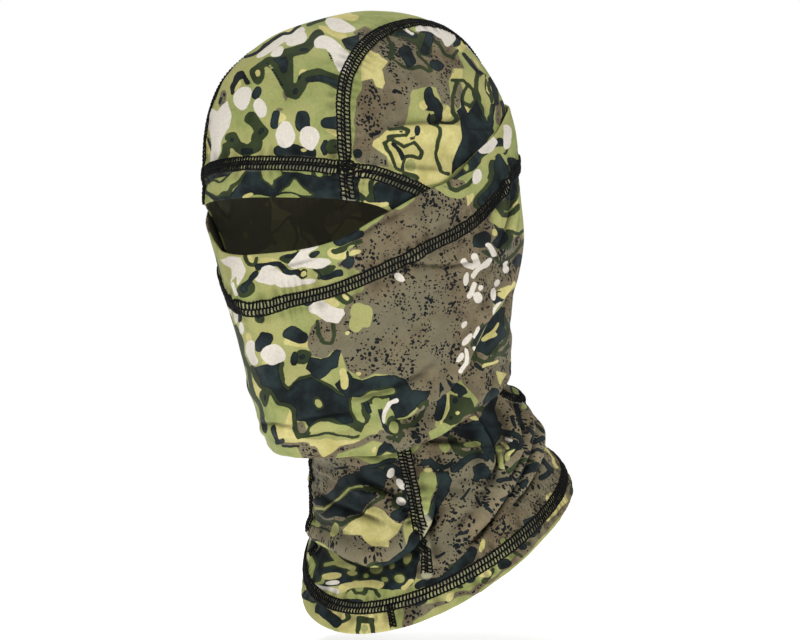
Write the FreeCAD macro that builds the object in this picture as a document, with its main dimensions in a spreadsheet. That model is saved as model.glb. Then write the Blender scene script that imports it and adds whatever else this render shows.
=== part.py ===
import FreeCAD, Part
import Sketcher
import math
import os

# Camouflage face mask (balaclava with a pull-down face cover), worn open at the eyes.
#
# Frame: +Z up, the face looks along -Y, the wearer's left side is +X.  The origin is on the
# upright axis of the head at the level of the lowest point of the neck hem, where the head
# enters the garment.  Millimetres.
#
# The garment is four tubes of thin jersey that lie over each other:
#   hood   - crown panel and two side panels round the skull, open at the face
#   mask   - an outer layer that climbs from the nose to the back of the crown.  Its front
#            half is the face cover, which swings down about the line through the jaw joints.
#   neck   - front and back neck panels between two upright seams
#   band   - the wide hem band at the bottom
# Every seam is closed with a flat two-needle stitch, modelled as a raised strip of thread.

os.makedirs("parts", exist_ok=True)
doc = FreeCAD.newDocument("face_mask")
sheet = doc.addObject("Spreadsheet::Sheet", "Dimensions")

# ----------------------------------------------------------------------------- spreadsheet
row_no = [0]


def put(alias, value, note=""):
    row_no[0] += 1
    cell = "B%d" % row_no[0]
    sheet.set("A%d" % row_no[0], note or alias.replace("_", " "))
    sheet.set(cell, "%.6g" % value)
    sheet.setAlias(cell, alias)


def put_table(prefix, names, rows):
    for k, row in enumerate(rows):
        for name, value in zip(names, row):
            put("%s_%s_%s" % (prefix, WORDS[k], name), value)


WORDS = ["one", "two", "three", "four", "five", "six", "seven", "eight", "nine", "ten",
         "eleven", "twelve", "thirteen", "fourteen", "fifteen", "sixteen", "seventeen",
         "eighteen", "nineteen", "twenty", "twentyone", "twentytwo"]

put("cloth_thickness", 1.0, "modelled thickness of the doubled jersey")
put("seam_gap", 0.5, "gap between neighbouring panel edges, under the seam thread")
put("thread_width", 7.0, "width of a flat seam")
put("thread_height", 0.9, "how far a flat seam stands proud")
put("thread_lift", 0.15, "clearance between cloth and seam thread")
put("hinge_back", 10.0, "face cover axis, behind the head axis")
put("hinge_height", 150.0, "face cover axis, above the hem")
put("cover_side_angle", 68.0, "side edge of the face cover, from straight ahead")
put("cover_low_edge", 150.5, "lower edge of the face cover")
put("chin_high_edge", 153.0, "upper edge of the chin panel, tucked behind the face cover")
put("chin_tuck", 1.7, "how far the chin panel's upper edge sits behind the mask surface")
put("seam_left_angle", 35.0, "left front neck seam, from straight ahead")
put("seam_right_angle", -45.0, "right front neck seam, from straight ahead")
put("neck_low", 0.216, "lower edge of the neck panels, share of neck length")
put("neck_high", 0.97, "upper edge of the neck panels, share of neck length")
# hem band: two tilted ellipses
put("hem_width", 72.0, "hem, half width")
put("hem_length", 87.6, "hem, half length in its own plane")
put("hem_centre", 51.0, "hem, centre behind the head axis")
put("hem_height", 42.0, "hem, centre above the lowest point")
put("hem_tilt", 28.7, "hem, tilt down to the front, degrees")
put("band_top_width", 67.0, "top of the hem band, half width")
put("band_top_length", 75.6, "top of the hem band, half length in its own plane")
put("band_top_centre", 45.9, "top of the hem band, centre behind the head axis")
put("band_top_height", 60.4, "top of the hem band, height of its centre")
put("band_top_tilt", 28.3, "top of the hem band, tilt down to the front, degrees")
put("join_angle", 19.0, "join of the hem band, from straight ahead")
put("join_length", 21.0, "length of the join stitch")

# hood rings: height, centre, half width, front length, back length, front and back squareness
put_table("hood", ["z", "yc", "wide", "front", "back", "nf", "nb"], [
    [100.0, 2.0, 45.0, 68.0, 60.0, 1.60, 2.0],
    [120.0, 0.0, 54.5, 79.0, 66.0, 1.55, 2.1],
    [150.0, -4.0, 63.8, 88.5, 70.0, 1.55, 2.1],
    [180.0, -7.5, 70.0, 95.0, 74.0, 1.57, 2.1],
    [205.0, -10.0, 73.8, 91.0, 78.0, 1.80, 2.1],
    [225.0, -10.0, 75.2, 93.8, 76.5, 2.10, 2.1],
    [240.0, -10.0, 75.0, 94.8, 76.0, 2.10, 2.1],
    [255.0, -9.7, 72.9, 95.2, 77.5, 2.10, 2.1],
    [265.0, -9.4, 70.3, 95.1, 79.0, 2.10, 2.1],
    [275.0, -8.8, 66.7, 94.4, 79.2, 2.10, 2.1],
    [285.0, -7.9, 62.0, 91.8, 75.6, 2.10, 2.1],
    [295.0, -6.7, 55.9, 85.0, 68.8, 2.10, 2.1],
    [303.0, -5.5, 49.6, 76.0, 61.7, 2.10, 2.1],
    [310.0, -4.1, 42.6, 65.5, 53.5, 2.10, 2.1],
    [316.0, -2.8, 34.7, 50.0, 44.3, 2.10, 2.1],
    [320.0, -1.8, 27.8, 36.5, 36.0, 2.10, 2.1],
    [323.0, -1.0, 20.7, 25.0, 27.0, 2.10, 2.1],
    [325.2, -0.4, 12.0, 14.0, 15.5, 2.10, 2.1],
    [326.3, 0.0, 3.0, 3.3, 3.6, 2.10, 2.1],
    [326.5, 0.0, 0.3, 0.3, 0.3, 2.10, 2.1]])
# mask rings
put_table("mask", ["z", "yc", "wide", "front", "back", "nf", "nb"], [
    [92.0, 0.0, 51.0, 66.0, 78.0, 1.70, 2.1],
    [98.0, 0.0, 54.5, 71.5, 79.0, 1.62, 2.1],
    [104.0, 0.0, 57.0, 76.5, 80.0, 1.60, 2.1],
    [112.0, -1.0, 59.5, 80.5, 80.5, 1.58, 2.1],
    [125.0, -2.0, 62.5, 84.8, 81.0, 1.56, 2.1],
    [135.0, -3.0, 64.5, 87.8, 80.0, 1.55, 2.1],
    [150.0, -4.0, 67.0, 92.6, 78.4, 1.55, 2.1],
    [165.0, -6.0, 70.5, 97.0, 76.0, 1.55, 2.1],
    [175.0, -7.0, 72.5, 99.8, 76.5, 1.55, 2.1],
    [185.0, -8.0, 74.5, 99.4, 81.5, 1.58, 2.1],
    [195.0, -9.0, 76.0, 97.5, 85.5, 1.65, 2.1],
    [205.0, -10.0, 77.5, 94.5, 87.5, 1.80, 2.1],
    [215.0, -10.0, 78.0, 93.5, 85.5, 2.00, 2.1],
    [225.0, -10.0, 78.0, 94.5, 82.5, 2.10, 2.1],
    [240.0, -10.0, 77.5, 95.5, 80.0, 2.10, 2.1],
    [255.0, -9.7, 75.5, 97.0, 80.5, 2.10, 2.1],
    [265.0, -9.4, 73.0, 97.0, 82.0, 2.10, 2.1],
    [275.0, -8.8, 69.3, 96.5, 82.5, 2.10, 2.1],
    [285.0, -7.9, 64.6, 94.5, 79.0, 2.10, 2.1],
    [295.0, -6.7, 58.5, 87.5, 72.4, 2.10, 2.1]])
# neck rings: share of length, centre, half width, front, back, height, drop to the front
put_table("neck", ["share", "yc", "wide", "front", "back", "z", "drop"], [
    [0.00, 51.0, 72.0, 76.0, 77.0, 42.0, 42.0],
    [0.08, 49.5, 71.0, 72.5, 74.0, 49.0, 40.0],
    [0.15, 48.0, 69.5, 69.0, 70.5, 56.0, 38.0],
    [0.30, 43.0, 65.0, 61.5, 66.0, 68.0, 33.0],
    [0.55, 36.0, 60.0, 57.0, 68.0, 88.0, 28.0],
    [0.75, 30.0, 54.5, 55.0, 64.0, 104.0, 23.0],
    [0.86, 26.0, 51.5, 55.0, 51.0, 113.0, 21.0],
    [1.00, 20.0, 50.0, 56.0, 47.0, 125.0, 18.0]])
# edge of the mask layer, height against the angle from straight ahead
put_table("mask_edge", ["angle", "z"], [
    [0.0, 194.5], [17.0, 197.4], [30.0, 203.0], [44.0, 214.5], [61.0, 227.5], [70.0, 232.5],
    [86.0, 248.0], [98.0, 256.0], [122.0, 271.0], [150.0, 279.0], [180.0, 281.0]])
# the flat seam of the mask's turned hem
put_table("mask_hem", ["angle", "z"], [
    [0.0, 170.5], [13.0, 172.5], [21.0, 175.6], [39.0, 185.4], [58.0, 197.4], [80.0, 211.4],
    [95.0, 224.4], [114.0, 240.0], [150.0, 250.0], [180.0, 252.0]])
# lower fold of the mask layer over the neck
put_table("mask_fold", ["angle", "z"], [
    [0.0, 93.5], [30.0, 94.0], [47.0, 96.5], [68.0, 103.5], [101.0, 119.5], [130.0, 132.5],
    [180.0, 136.0]])
# upper edge of the eye opening and the flat seam above it
put_table("brow", ["angle", "z"], [
    [0.0, 224.8], [24.0, 223.8], [33.0, 222.8], [40.0, 221.0], [46.0, 217.7], [52.0, 211.0],
    [55.0, 200.0]])
put_table("brow_hem", ["angle", "z"], [
    [0.0, 241.5], [15.0, 240.8], [30.0, 238.5], [39.0, 236.5], [50.0, 231.7], [60.0, 226.5],
    [68.0, 220.0]])
# crown seam: height along the face and top, half distance between the two seams
put_table("crown_seam", ["turn", "half"], [
    [0.0, 48.0], [20.0, 46.5], [45.0, 41.0], [70.0, 35.0], [90.0, 32.0], [120.0, 31.0],
    [150.0, 32.0], [180.0, 33.0], [224.0, 33.0]])
doc.recompute()


def dim(alias):
    return float(sheet.get(alias))


def read_table(prefix, names):
    rows = []
    for word in WORDS:
        try:
            rows.append([float(sheet.get("%s_%s_%s" % (prefix, word, n))) for n in names])
        except Exception:
            break
    return rows


# ------------------------------------------------------------------- curves and surfaces
def smooth_table(xs, ys):
    """Monotone cubic curve through a table."""
    n = len(xs)
    step = [xs[i + 1] - xs[i] for i in range(n - 1)]
    slope = [(ys[i + 1] - ys[i]) / step[i] for i in range(n - 1)]
    tangent = [slope[0]] + [0.0] * (n - 2) + [slope[-1]]
    for i in range(1, n - 1):
        if slope[i - 1] * slope[i] > 0:
            wa = 2 * step[i] + step[i - 1]
            wb = step[i] + 2 * step[i - 1]
            tangent[i] = (wa + wb) / (wa / slope[i - 1] + wb / slope[i])

    def value(x):
        x = min(max(x, xs[0]), xs[-1])
        i = 0
        while i < n - 2 and x > xs[i + 1]:
            i += 1
        u = (x - xs[i]) / step[i]
        return ((2 * u ** 3 - 3 * u ** 2 + 1) * ys[i] + (u ** 3 - 2 * u ** 2 + u) * step[i] * tangent[i]
                + (3 * u ** 2 - 2 * u ** 3) * ys[i + 1] + (u ** 3 - u ** 2) * step[i] * tangent[i + 1])
    return value


def curves(prefix, names):
    rows = read_table(prefix, names)
    xs = [r[0] for r in rows]
    return [smooth_table(xs, [r[k] for r in rows]) for k in range(1, len(names))]


RING = ["z", "yc", "wide", "front", "back", "nf", "nb"]
hood_curves = curves("hood", RING)
mask_curves = curves("mask", RING)
neck_curves = curves("neck", ["share", "yc", "wide", "front", "back", "z", "drop"])
mask_edge = curves("mask_edge", ["angle", "z"])[0]
mask_hem = curves("mask_hem", ["angle", "z"])[0]
mask_fold = curves("mask_fold", ["angle", "z"])[0]
brow = curves("brow", ["angle", "z"])[0]
brow_hem = curves("brow_hem", ["angle", "z"])[0]
crown_half = curves("crown_seam", ["turn", "half"])[0]


def wrap(deg):
    """Angle from straight ahead, 0 to 180 on either side."""
    return abs((deg + 180.0) % 360.0 - 180.0)


def radius(deg, wide, front, back, nf, nb):
    c, s = math.cos(math.radians(deg)), abs(math.sin(math.radians(deg)))
    length, n = (front, nf) if c > 0 else (back, nb)
    return ((s / wide) ** n + (abs(c) / length) ** n) ** (-1.0 / n)


def ring_point(rings, deg, z):
    yc, wide, front, back, nf, nb = [g(z) for g in rings]
    r = radius(deg, wide, front, back, nf, nb)
    return FreeCAD.Vector(r * math.sin(math.radians(deg)), yc - r * math.cos(math.radians(deg)), z)


def hood_point(deg, z):
    return ring_point(hood_curves, deg, z)


def mask_point(deg, z):
    return ring_point(mask_curves, deg, z)


def neck_point(deg, share):
    yc, wide, front, back, z, drop = [g(share) for g in neck_curves]
    r = radius(deg, wide, front, back, 2.0, 2.0)
    return FreeCAD.Vector(r * math.sin(math.radians(deg)), yc - r * math.cos(math.radians(deg)),
                          z - drop * math.cos(math.radians(deg)))


def hood_cast(origin, direction):
    """Where a ray from inside the head meets the hood."""
    lo, hi = 5.0, 220.0
    for _ in range(44):
        mid = 0.5 * (lo + hi)
        p = origin + direction * mid
        if p.z >= 326.49:
            hi = mid
            continue
        yc, wide, front, back, nf, nb = [g(p.z) for g in hood_curves]
        plan = math.hypot(p.x, p.y - yc)
        deg = math.degrees(math.atan2(p.x, -(p.y - yc)))
        if plan > radius(deg, wide, front, back, nf, nb):
            hi = mid
        else:
            lo = mid
    return origin + direction * (0.5 * (lo + hi))


CENTRE = FreeCAD.Vector(0.0, -2.0, 215.0)


def crown_point(turn, side):
    """Hood surface by turn (0 ahead, 90 up, 180 behind) and sideways offset in mm."""
    # the offset is laid out on the surface by the angle that gives that x
    lo, hi = 0.0, 75.0
    sign = 1.0 if side >= 0 else -1.0
    target = abs(side)
    p = None
    for _ in range(26):
        beta = 0.5 * (lo + hi)
        cb, sb = math.cos(math.radians(beta)), math.sin(math.radians(beta))
        ct, st = math.cos(math.radians(turn)), math.sin(math.radians(turn))
        p = hood_cast(CENTRE, FreeCAD.Vector(sb * sign, -cb * ct, cb * st))
        if abs(p.x) > target:
            hi = beta
        else:
            lo = beta
    return p


def surface_from(points):
    s = Part.BSplineSurface()
    s.interpolate(points)
    return s


def normals_of(points, sense):
    nu, nv = len(points), len(points[0])
    out = []
    for i in range(nu):
        line = []
        for j in range(nv):
            a = points[min(i + 1, nu - 1)][j] - points[max(i - 1, 0)][j]
            b = points[i][min(j + 1, nv - 1)] - points[i][max(j - 1, 0)]
            n = a.cross(b)
            n.normalize()
            line.append(n * sense)
        out.append(line)
    return out


def slab(points, low, high, raise_by=None):
    """Closed solid between two offsets of a grid of points.  Offsets are along the outward
    normal, which is the one that points away from the axis of the head."""
    mid = points[len(points) // 2][len(points[0]) // 2]
    trial = normals_of(points, 1.0)[len(points) // 2][len(points[0]) // 2]
    away = mid - FreeCAD.Vector(0, 15, max(60.0, min(mid.z, 215.0)))
    sense = 1.0 if trial.dot(away) > 0 else -1.0
    nrm = normals_of(points, sense)
    skins = []
    for off in (low, high):
        grid = [[p + n * (off + (raise_by(i, j) if raise_by else 0.0))
                 for j, (p, n) in enumerate(zip(pr, nr))]
                for i, (pr, nr) in enumerate(zip(points, nrm))]
        skins.append(surface_from(grid))
    faces = [s.toShape() for s in skins]
    a, b = skins
    u0, u1, v0, v1 = a.bounds()
    U0, U1, V0, V1 = b.bounds()
    pairs = [(a.uIso(u0), b.uIso(U0)), (a.uIso(u1), b.uIso(U1)),
             (a.vIso(v0), b.vIso(V0)), (a.vIso(v1), b.vIso(V1))]
    for ca, cb in pairs:
        faces.append(Part.makeRuledSurface(ca.toShape(), cb.toShape()))
    shell = Part.Shell(faces)
    if not shell.isClosed():
        shell.sewShape()
    solid = Part.Solid(shell)
    if solid.Volume < 0:
        solid.reverse()
    return solid


def spread(a, b, n):
    return [a + (b - a) * i / (n - 1.0) for i in range(n)]


pieces = []


def add_feature(label, shape, place=None):
    obj = doc.addObject("Part::Feature", label)
    obj.Label = label
    obj.Shape = shape
    obj.Placement = place or FreeCAD.Placement()
    pieces.append(obj)
    return obj


cloth = dim("cloth_thickness")
gap = dim("seam_gap")
half_gap = gap / 2.0
side_deg = dim("cover_side_angle")

# ------------------------------------------------------------------------------- hood
# The turn at which the crown panel meets the brow edge is found on the surface.
def brow_turn(side):
    """Turn angle of the eye opening's upper edge at a sideways offset."""
    lo, hi = -15.0, 40.0
    for _ in range(30):
        mid = 0.5 * (lo + hi)
        p = crown_point(mid, side)
        deg = math.degrees(math.atan2(p.x, -(p.y + 10.0)))
        if p.z > brow(wrap(deg)):
            hi = mid
        else:
            lo = mid
    return 0.5 * (lo + hi)


BACK_TURN = 224.0
crown_grid = []
for k in spread(-1.0, 1.0, 9):
    line = []
    start = brow_turn(k * (crown_half(5.0) - half_gap))
    for w in spread(0.0, 1.0, 26):
        turn = start + (BACK_TURN - start) * w
        line.append(crown_point(turn, k * (crown_half(max(turn, 0.0)) - half_gap)))
    crown_grid.append(line)
add_feature("crown_panel", slab(crown_grid, -cloth, 0.0))


def hood_low(deg):
    """Lower edge of the hood, just above the top of the neck."""
    return 127.5 - 18.0 * math.cos(math.radians(deg))


def seam_side(sign):
    """Points of the crown seam, brow to nape, on one side."""
    start = brow_turn(sign * crown_half(5.0))
    return [crown_point(start + (BACK_TURN - start) * w,
                        sign * (crown_half(max(start + (BACK_TURN - start) * w, 0.0)) + half_gap))
            for w in spread(0.0, 1.0, 30)]


def polar(p, z=None):
    yc = hood_curves[0](p.z)
    return math.degrees(math.atan2(abs(p.x), -(p.y - yc)))


def resample(points, n):
    """Points at even spacing along a line of points."""
    run = [0.0]
    for a, b in zip(points[:-1], points[1:]):
        run.append(run[-1] + (b - a).Length)
    out = []
    for w in spread(0.0, run[-1], n):
        k = 0
        while k < len(run) - 2 and w > run[k + 1]:
            k += 1
        f = (w - run[k]) / max(run[k + 1] - run[k], 1e-9)
        out.append(points[k] + (points[k + 1] - points[k]) * min(max(f, 0.0), 1.0))
    return out


def patch(top, bottom, front, back, nu, nv):
    """Four-sided patch between four lines, laid on the hood surface."""
    top, bottom = resample(top, nu), resample(bottom, nu)
    front, back = resample(front, nv), resample(back, nv)
    a, e, c, d = top[0], top[-1], bottom[0], bottom[-1]
    grid = []
    for i, u in enumerate(spread(0.0, 1.0, nu)):
        line = []
        for j, v in enumerate(spread(0.0, 1.0, nv)):
            p = (top[i] * (1 - v) + bottom[i] * v + front[j] * (1 - u) + back[j] * u
                 - a * ((1 - u) * (1 - v)) - e * (u * (1 - v)) - c * ((1 - u) * v) - d * (u * v))
            ray = p - CENTRE
            ray.normalize()
            line.append(hood_cast(CENTRE, ray))
        grid.append(line)
    return grid


def side_panel():
    """Left side panel: crown seam above and behind, eye opening and cheek edge in front."""
    seam = seam_side(1.0)
    cut = int(0.70 * len(seam))
    top, back = seam[:cut + 1], seam[cut:]
    first = polar(seam[0])
    front = [hood_point(d, brow(d)) for d in spread(first, 46.0, 8)]
    for w in spread(0.0, 1.0, 22)[1:]:
        d = 46.0 + 11.0 * math.sin(min(w * 2.0, 1.0) * math.pi / 2)
        z = brow(46.0) + (hood_low(57.0) - brow(46.0)) * w
        front.append(hood_point(d, z))
    last = polar(seam[-1])
    drop = seam[-1].z - hood_low(last)
    bottom = [hood_point(d, hood_low(d) + drop * ((d - 57.0) / (last - 57.0)) ** 4)
              for d in spread(57.0, last, 20)]
    bottom[-1] = seam[-1]
    front[0] = seam[0]
    return patch(top, bottom, front, back, 26, 22)


def mirrored(shape):
    return shape.mirror(FreeCAD.Vector(0, 0, 0), FreeCAD.Vector(1, 0, 0))


side_left = slab(side_panel(), -cloth, 0.0)
add_feature("side_panel_left", side_left)
add_feature("side_panel_right", mirrored(side_left))

# ------------------------------------------------------------------------------- mask
# Back wrap: from the sides of the face cover round the back of the head.
back_grid = []
for deg in spread(side_deg + 1.0, 360.0 - side_deg - 1.0, 41):
    low, high = mask_fold(wrap(deg)), mask_edge(wrap(deg))
    back_grid.append([mask_point(deg, low + (high - low) * w) for w in spread(0.0, 1.0, 20)])
add_feature("mask_back_panel", slab(back_grid, -cloth, 0.0))

# Face cover: the part of the mask layer over nose, mouth and cheeks.
cover_grid = []
low = dim("cover_low_edge")
for deg in spread(-side_deg, side_deg, 35):
    high = mask_edge(wrap(deg))
    cover_grid.append([mask_point(deg, low + (high - low) * w) for w in spread(0.0, 1.0, 12)])
add_feature("mask_panel", slab(cover_grid, -cloth, 0.0))

# Chin panel: the mask layer below the mouth, round the chin, down to its fold.
chin_grid = []
high = dim("chin_high_edge")
for deg in spread(-side_deg, side_deg, 31):
    low = mask_fold(wrap(deg))
    chin_grid.append([mask_point(deg, low + (high - low) * w) for w in spread(0.0, 1.0, 14)])
tuck = dim("chin_tuck")


def tucked(i, j):
    """The upper part of the chin panel lies behind the face cover."""
    z = chin_grid[i][j].z
    f = max(0.0, min(1.0, (z - 132.0) / 13.0))
    return -tuck * f * f * (3 - 2 * f)


add_feature("chin_panel", slab(chin_grid, -cloth, 0.0, tucked))

# ------------------------------------------------------------------------------- neck
seam_l, seam_r = dim("seam_left_angle"), dim("seam_right_angle")
share_low, share_high = dim("neck_low"), dim("neck_high")
edge_deg = math.degrees(half_gap / 55.0)


def neck_grid(deg_from, deg_to, nu, nv):
    return [[neck_point(d, t) for t in spread(share_low, share_high, nv)]
            for d in spread(deg_from, deg_to, nu)]


add_feature("neck_front_panel",
            slab(neck_grid(seam_r + edge_deg, seam_l - edge_deg, 15, 16), -cloth, 0.0))
add_feature("neck_back_panel",
            slab(neck_grid(seam_l + edge_deg, 360.0 + seam_r - edge_deg, 37, 16), -cloth, 0.0))

# ------------------------------------------------------------------------------- hem band
# A ring lofted between two tilted ellipses, hollowed by the same loft one cloth smaller.


def ellipse(name, centre, height, tilt, long_alias, wide_alias, less):
    e = doc.addObject("Part::Ellipse", name)
    e.setExpression("MajorRadius", "Dimensions.%s - %s" % (long_alias, less))
    e.setExpression("MinorRadius", "Dimensions.%s - %s" % (wide_alias, less))
    # long axis along Y, tilted down to the front about X
    e.Placement = FreeCAD.Placement(
        FreeCAD.Vector(0, dim(centre), dim(height)),
        FreeCAD.Rotation(FreeCAD.Vector(1, 0, 0), dim(tilt))
        .multiply(FreeCAD.Rotation(FreeCAD.Vector(0, 0, 1), 90)))
    return e


def band_loft(name, less):
    loft = doc.addObject("Part::Loft", name)
    loft.Sections = [
        ellipse(name + "Hem", "hem_centre", "hem_height", "hem_tilt", "hem_length", "hem_width", less),
        ellipse(name + "Top", "band_top_centre", "band_top_height", "band_top_tilt",
                "band_top_length", "band_top_width", less)]
    loft.Solid = True
    loft.Ruled = True
    return loft


outer_band = band_loft("BandOuter", "0")
inner_band = band_loft("BandInner", "Dimensions.cloth_thickness")
band = doc.addObject("Part::Cut", "hem_band")
band.Label = "hem_band"
band.Base = outer_band
band.Tool = inner_band
pieces.append(band)

# ------------------------------------------------------------------------------- seams
seam_wide = dim("thread_width")
lift, proud = dim("thread_lift"), dim("thread_height")


def strip(place, along, across=(-0.5, -0.25, 0.0, 0.25, 0.5), raise_by=None):
    """Strip of thread along a line: place(station, sideways mm) gives its middle surface."""
    return slab([[place(s, k * seam_wide) for k in across] for s in along], lift, lift + proud, raise_by)


start_turn = brow_turn(crown_half(5.0))
crown_left = strip(lambda s, k: crown_point(s, crown_half(max(s, 0.0)) + k),
                   spread(start_turn + 0.6, BACK_TURN - 2.0, 60))
add_feature("crown_seam_left", crown_left)
add_feature("crown_seam_right", mirrored(crown_left))


def level_strip(surface, height, degs, raise_by=None):
    """Strip that runs round the head at a height that follows the angle."""
    rows = []
    for d in degs:
        z = height(wrap(d))
        slope = (height(min(wrap(d) + 1.0, 179.9)) - height(max(wrap(d) - 1.0, 0.0))) / 2.0
        stretch = math.sqrt(1.0 + (slope * 57.3 / 85.0) ** 2)
        rows.append([surface(d, z + k * seam_wide * stretch) for k in (-0.5, -0.25, 0.0, 0.25, 0.5)])
    return slab(rows, lift, lift + proud, raise_by)


brow_degs = spread(-62.0, 62.0, 75)
cross_deg = polar(crown_point(start_turn + 10.0, crown_half(15.0)))


def over_crown_seam(i, j):
    """The brow seam rides over the two crown seams where it crosses them."""
    away = abs(wrap(brow_degs[i]) - cross_deg)
    return (proud + lift) * max(0.0, min(1.0, (7.5 - away) / 2.2))


add_feature("brow_hem_seam", level_strip(hood_point, brow_hem, brow_degs, over_crown_seam))
add_feature("mask_hem_seam", level_strip(mask_point, mask_hem,
                                         spread(-side_deg + 0.2, side_deg - 0.2, 45)))
add_feature("mask_back_hem_seam", level_strip(mask_point, mask_hem,
                                              spread(side_deg + 1.2, 358.8 - side_deg, 51)))


def neck_seam(deg):
    return strip(lambda s, k: neck_point(deg + math.degrees(k / 62.0), s), spread(0.24, 0.83, 26))


add_feature("neck_seam_left", neck_seam(seam_l))
add_feature("neck_seam_right", neck_seam(seam_r))

# nape seam: joins the back neck panel to the hood, below the fold of the mask
nape_share = smooth_table([95.0, 112.0, 136.0, 180.0], [0.80, 0.79, 0.71, 0.68])
nape_rows = [[neck_point(d, nape_share(wrap(d)) + k * seam_wide / 62.0)
              for k in (-0.5, -0.25, 0.0, 0.25, 0.5)] for d in spread(100.0, 260.0, 37)]
add_feature("nape_seam", slab(nape_rows, lift, lift + proud))


def band_point(deg, share):
    """Hem band surface: share 0 at the hem, 1 at the top of the band."""
    def at(pre, suffix_width, suffix_length):
        width, length = dim(suffix_width), dim(suffix_length)
        tilt = math.radians(dim(pre + "_tilt"))
        c, s = math.cos(math.radians(deg)), math.sin(math.radians(deg))
        return FreeCAD.Vector(width * s, dim(pre + "_centre") - length * c * math.cos(tilt),
                              dim(pre + "_height") - length * c * math.sin(tilt))
    a = at("hem", "hem_width", "hem_length")
    b = at("band_top", "band_top_width", "band_top_length")
    return a + (b - a) * share


# hem seam: all the way round the band, closed on itself at the back
hem_height = smooth_table([0.0, 50.0, 90.0, 180.0], [0.52, 0.54, 0.60, 0.55])
join_deg = dim("join_angle")
hem_degs = spread(0.0, 359.4, 91)


def over_join(i, j):
    """The hem seam rides over the join of the band."""
    away = abs(wrap(hem_degs[i] - join_deg))
    return (proud + lift) * max(0.0, min(1.0, (8.0 - away) / 2.2))


hem_rows = [[band_point(d + 180.0, hem_height(wrap(d + 180.0)) + k * seam_wide / 21.0)
             for k in (-0.5, -0.25, 0.0, 0.25, 0.5)] for d in hem_degs]
hem_degs = [d + 180.0 for d in hem_degs]
add_feature("hem_seam", slab(hem_rows, lift, lift + proud, over_join))

# join of the band: a short straight seam, padded from a rectangle and laid on the band
body = doc.addObject("PartDesign::Body", "band_join_seam")
body.Label = "band_join_seam"
sketch = body.newObject("Sketcher::SketchObject", "JoinOutline")
plane = [f for f in body.Origin.OriginFeatures if f.Role == "XY_Plane"][0]
sketch.AttachmentSupport = [(plane, "")]
sketch.MapMode = "FlatFace"
V = FreeCAD.Vector
corners = [V(-3.5, -10.0, 0), V(3.5, -10.0, 0), V(3.5, 10.0, 0), V(-3.5, 10.0, 0)]
for k in range(4):
    sketch.addGeometry(Part.LineSegment(corners[k], corners[(k + 1) % 4]), False)
corner_pairs = [(0, 2, 1, 1), (1, 2, 2, 1), (2, 2, 3, 1), (3, 2, 0, 1)]
for a, b, c, d in corner_pairs:
    sketch.addConstraint(Sketcher.Constraint("Coincident", a, b, c, d))
for k in (0, 2):
    sketch.addConstraint(Sketcher.Constraint("Horizontal", k))
for k in (1, 3):
    sketch.addConstraint(Sketcher.Constraint("Vertical", k))
sketch.addConstraint(Sketcher.Constraint("Symmetric", 0, 1, 2, 1, -1, 1))
wide_at = sketch.addConstraint(Sketcher.Constraint("DistanceX", 0, 1, 0, 2, 7.0))
long_at = sketch.addConstraint(Sketcher.Constraint("DistanceY", 1, 1, 1, 2, 20.0))
sketch.setExpression("Constraints[%d]" % wide_at, "Dimensions.thread_width")
sketch.setExpression("Constraints[%d]" % long_at, "Dimensions.join_length - 2")
pad = body.newObject("PartDesign::Pad", "JoinThread")
pad.Profile = sketch
pad.setExpression("Length", "Dimensions.thread_height * 0.9")
doc.recompute()
low_p, high_p = band_point(join_deg, 0.0), band_point(join_deg, 1.0)
up = high_p - low_p
up.normalize()
side = band_point(join_deg + 2.0, 0.5) - band_point(join_deg - 2.0, 0.5)
side = side - up * side.dot(up)
side.normalize()
out = side.cross(up)
if out.dot(band_point(join_deg, 0.5) - V(0, dim("hem_centre"), dim("hem_height"))) < 0:
    side = side * -1.0
    out = side.cross(up)
lay = FreeCAD.Placement(band_point(join_deg, 0.5) + out * (lift + 0.05),
                        FreeCAD.Rotation(side, up, out, "ZXY"))
body.Placement = lay
pieces.append(body)

# ------------------------------------------------------------------------------- checks
doc.recompute()
for obj in doc.Objects:
    state = obj.State
    if "Invalid" in state or "Error" in state:
        raise SystemExit("object %s failed: %s" % (obj.Label, state))
for obj in pieces:
    shape = obj.Shape
    if shape.isNull() or not shape.isValid():
        raise SystemExit("sub-part %s is null or not valid" % obj.Label)
    if not shape.Solids:
        raise SystemExit("sub-part %s has no solid" % obj.Label)
for obj in pieces:
    shape = obj.Shape
    box = shape.BoundBox
    shape.exportStep("parts/%s.step" % obj.Label)
    print("%-22s solids %d  volume %9.1f mm3  x %7.1f %7.1f  y %7.1f %7.1f  z %7.1f %7.1f" % (
        obj.Label, len(shape.Solids), shape.Volume, box.XMin, box.XMax, box.YMin, box.YMax, box.ZMin, box.ZMax))
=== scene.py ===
import bpy
import math
import numpy as np
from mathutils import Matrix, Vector
from mathutils.bvhtree import BVHTree


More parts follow.
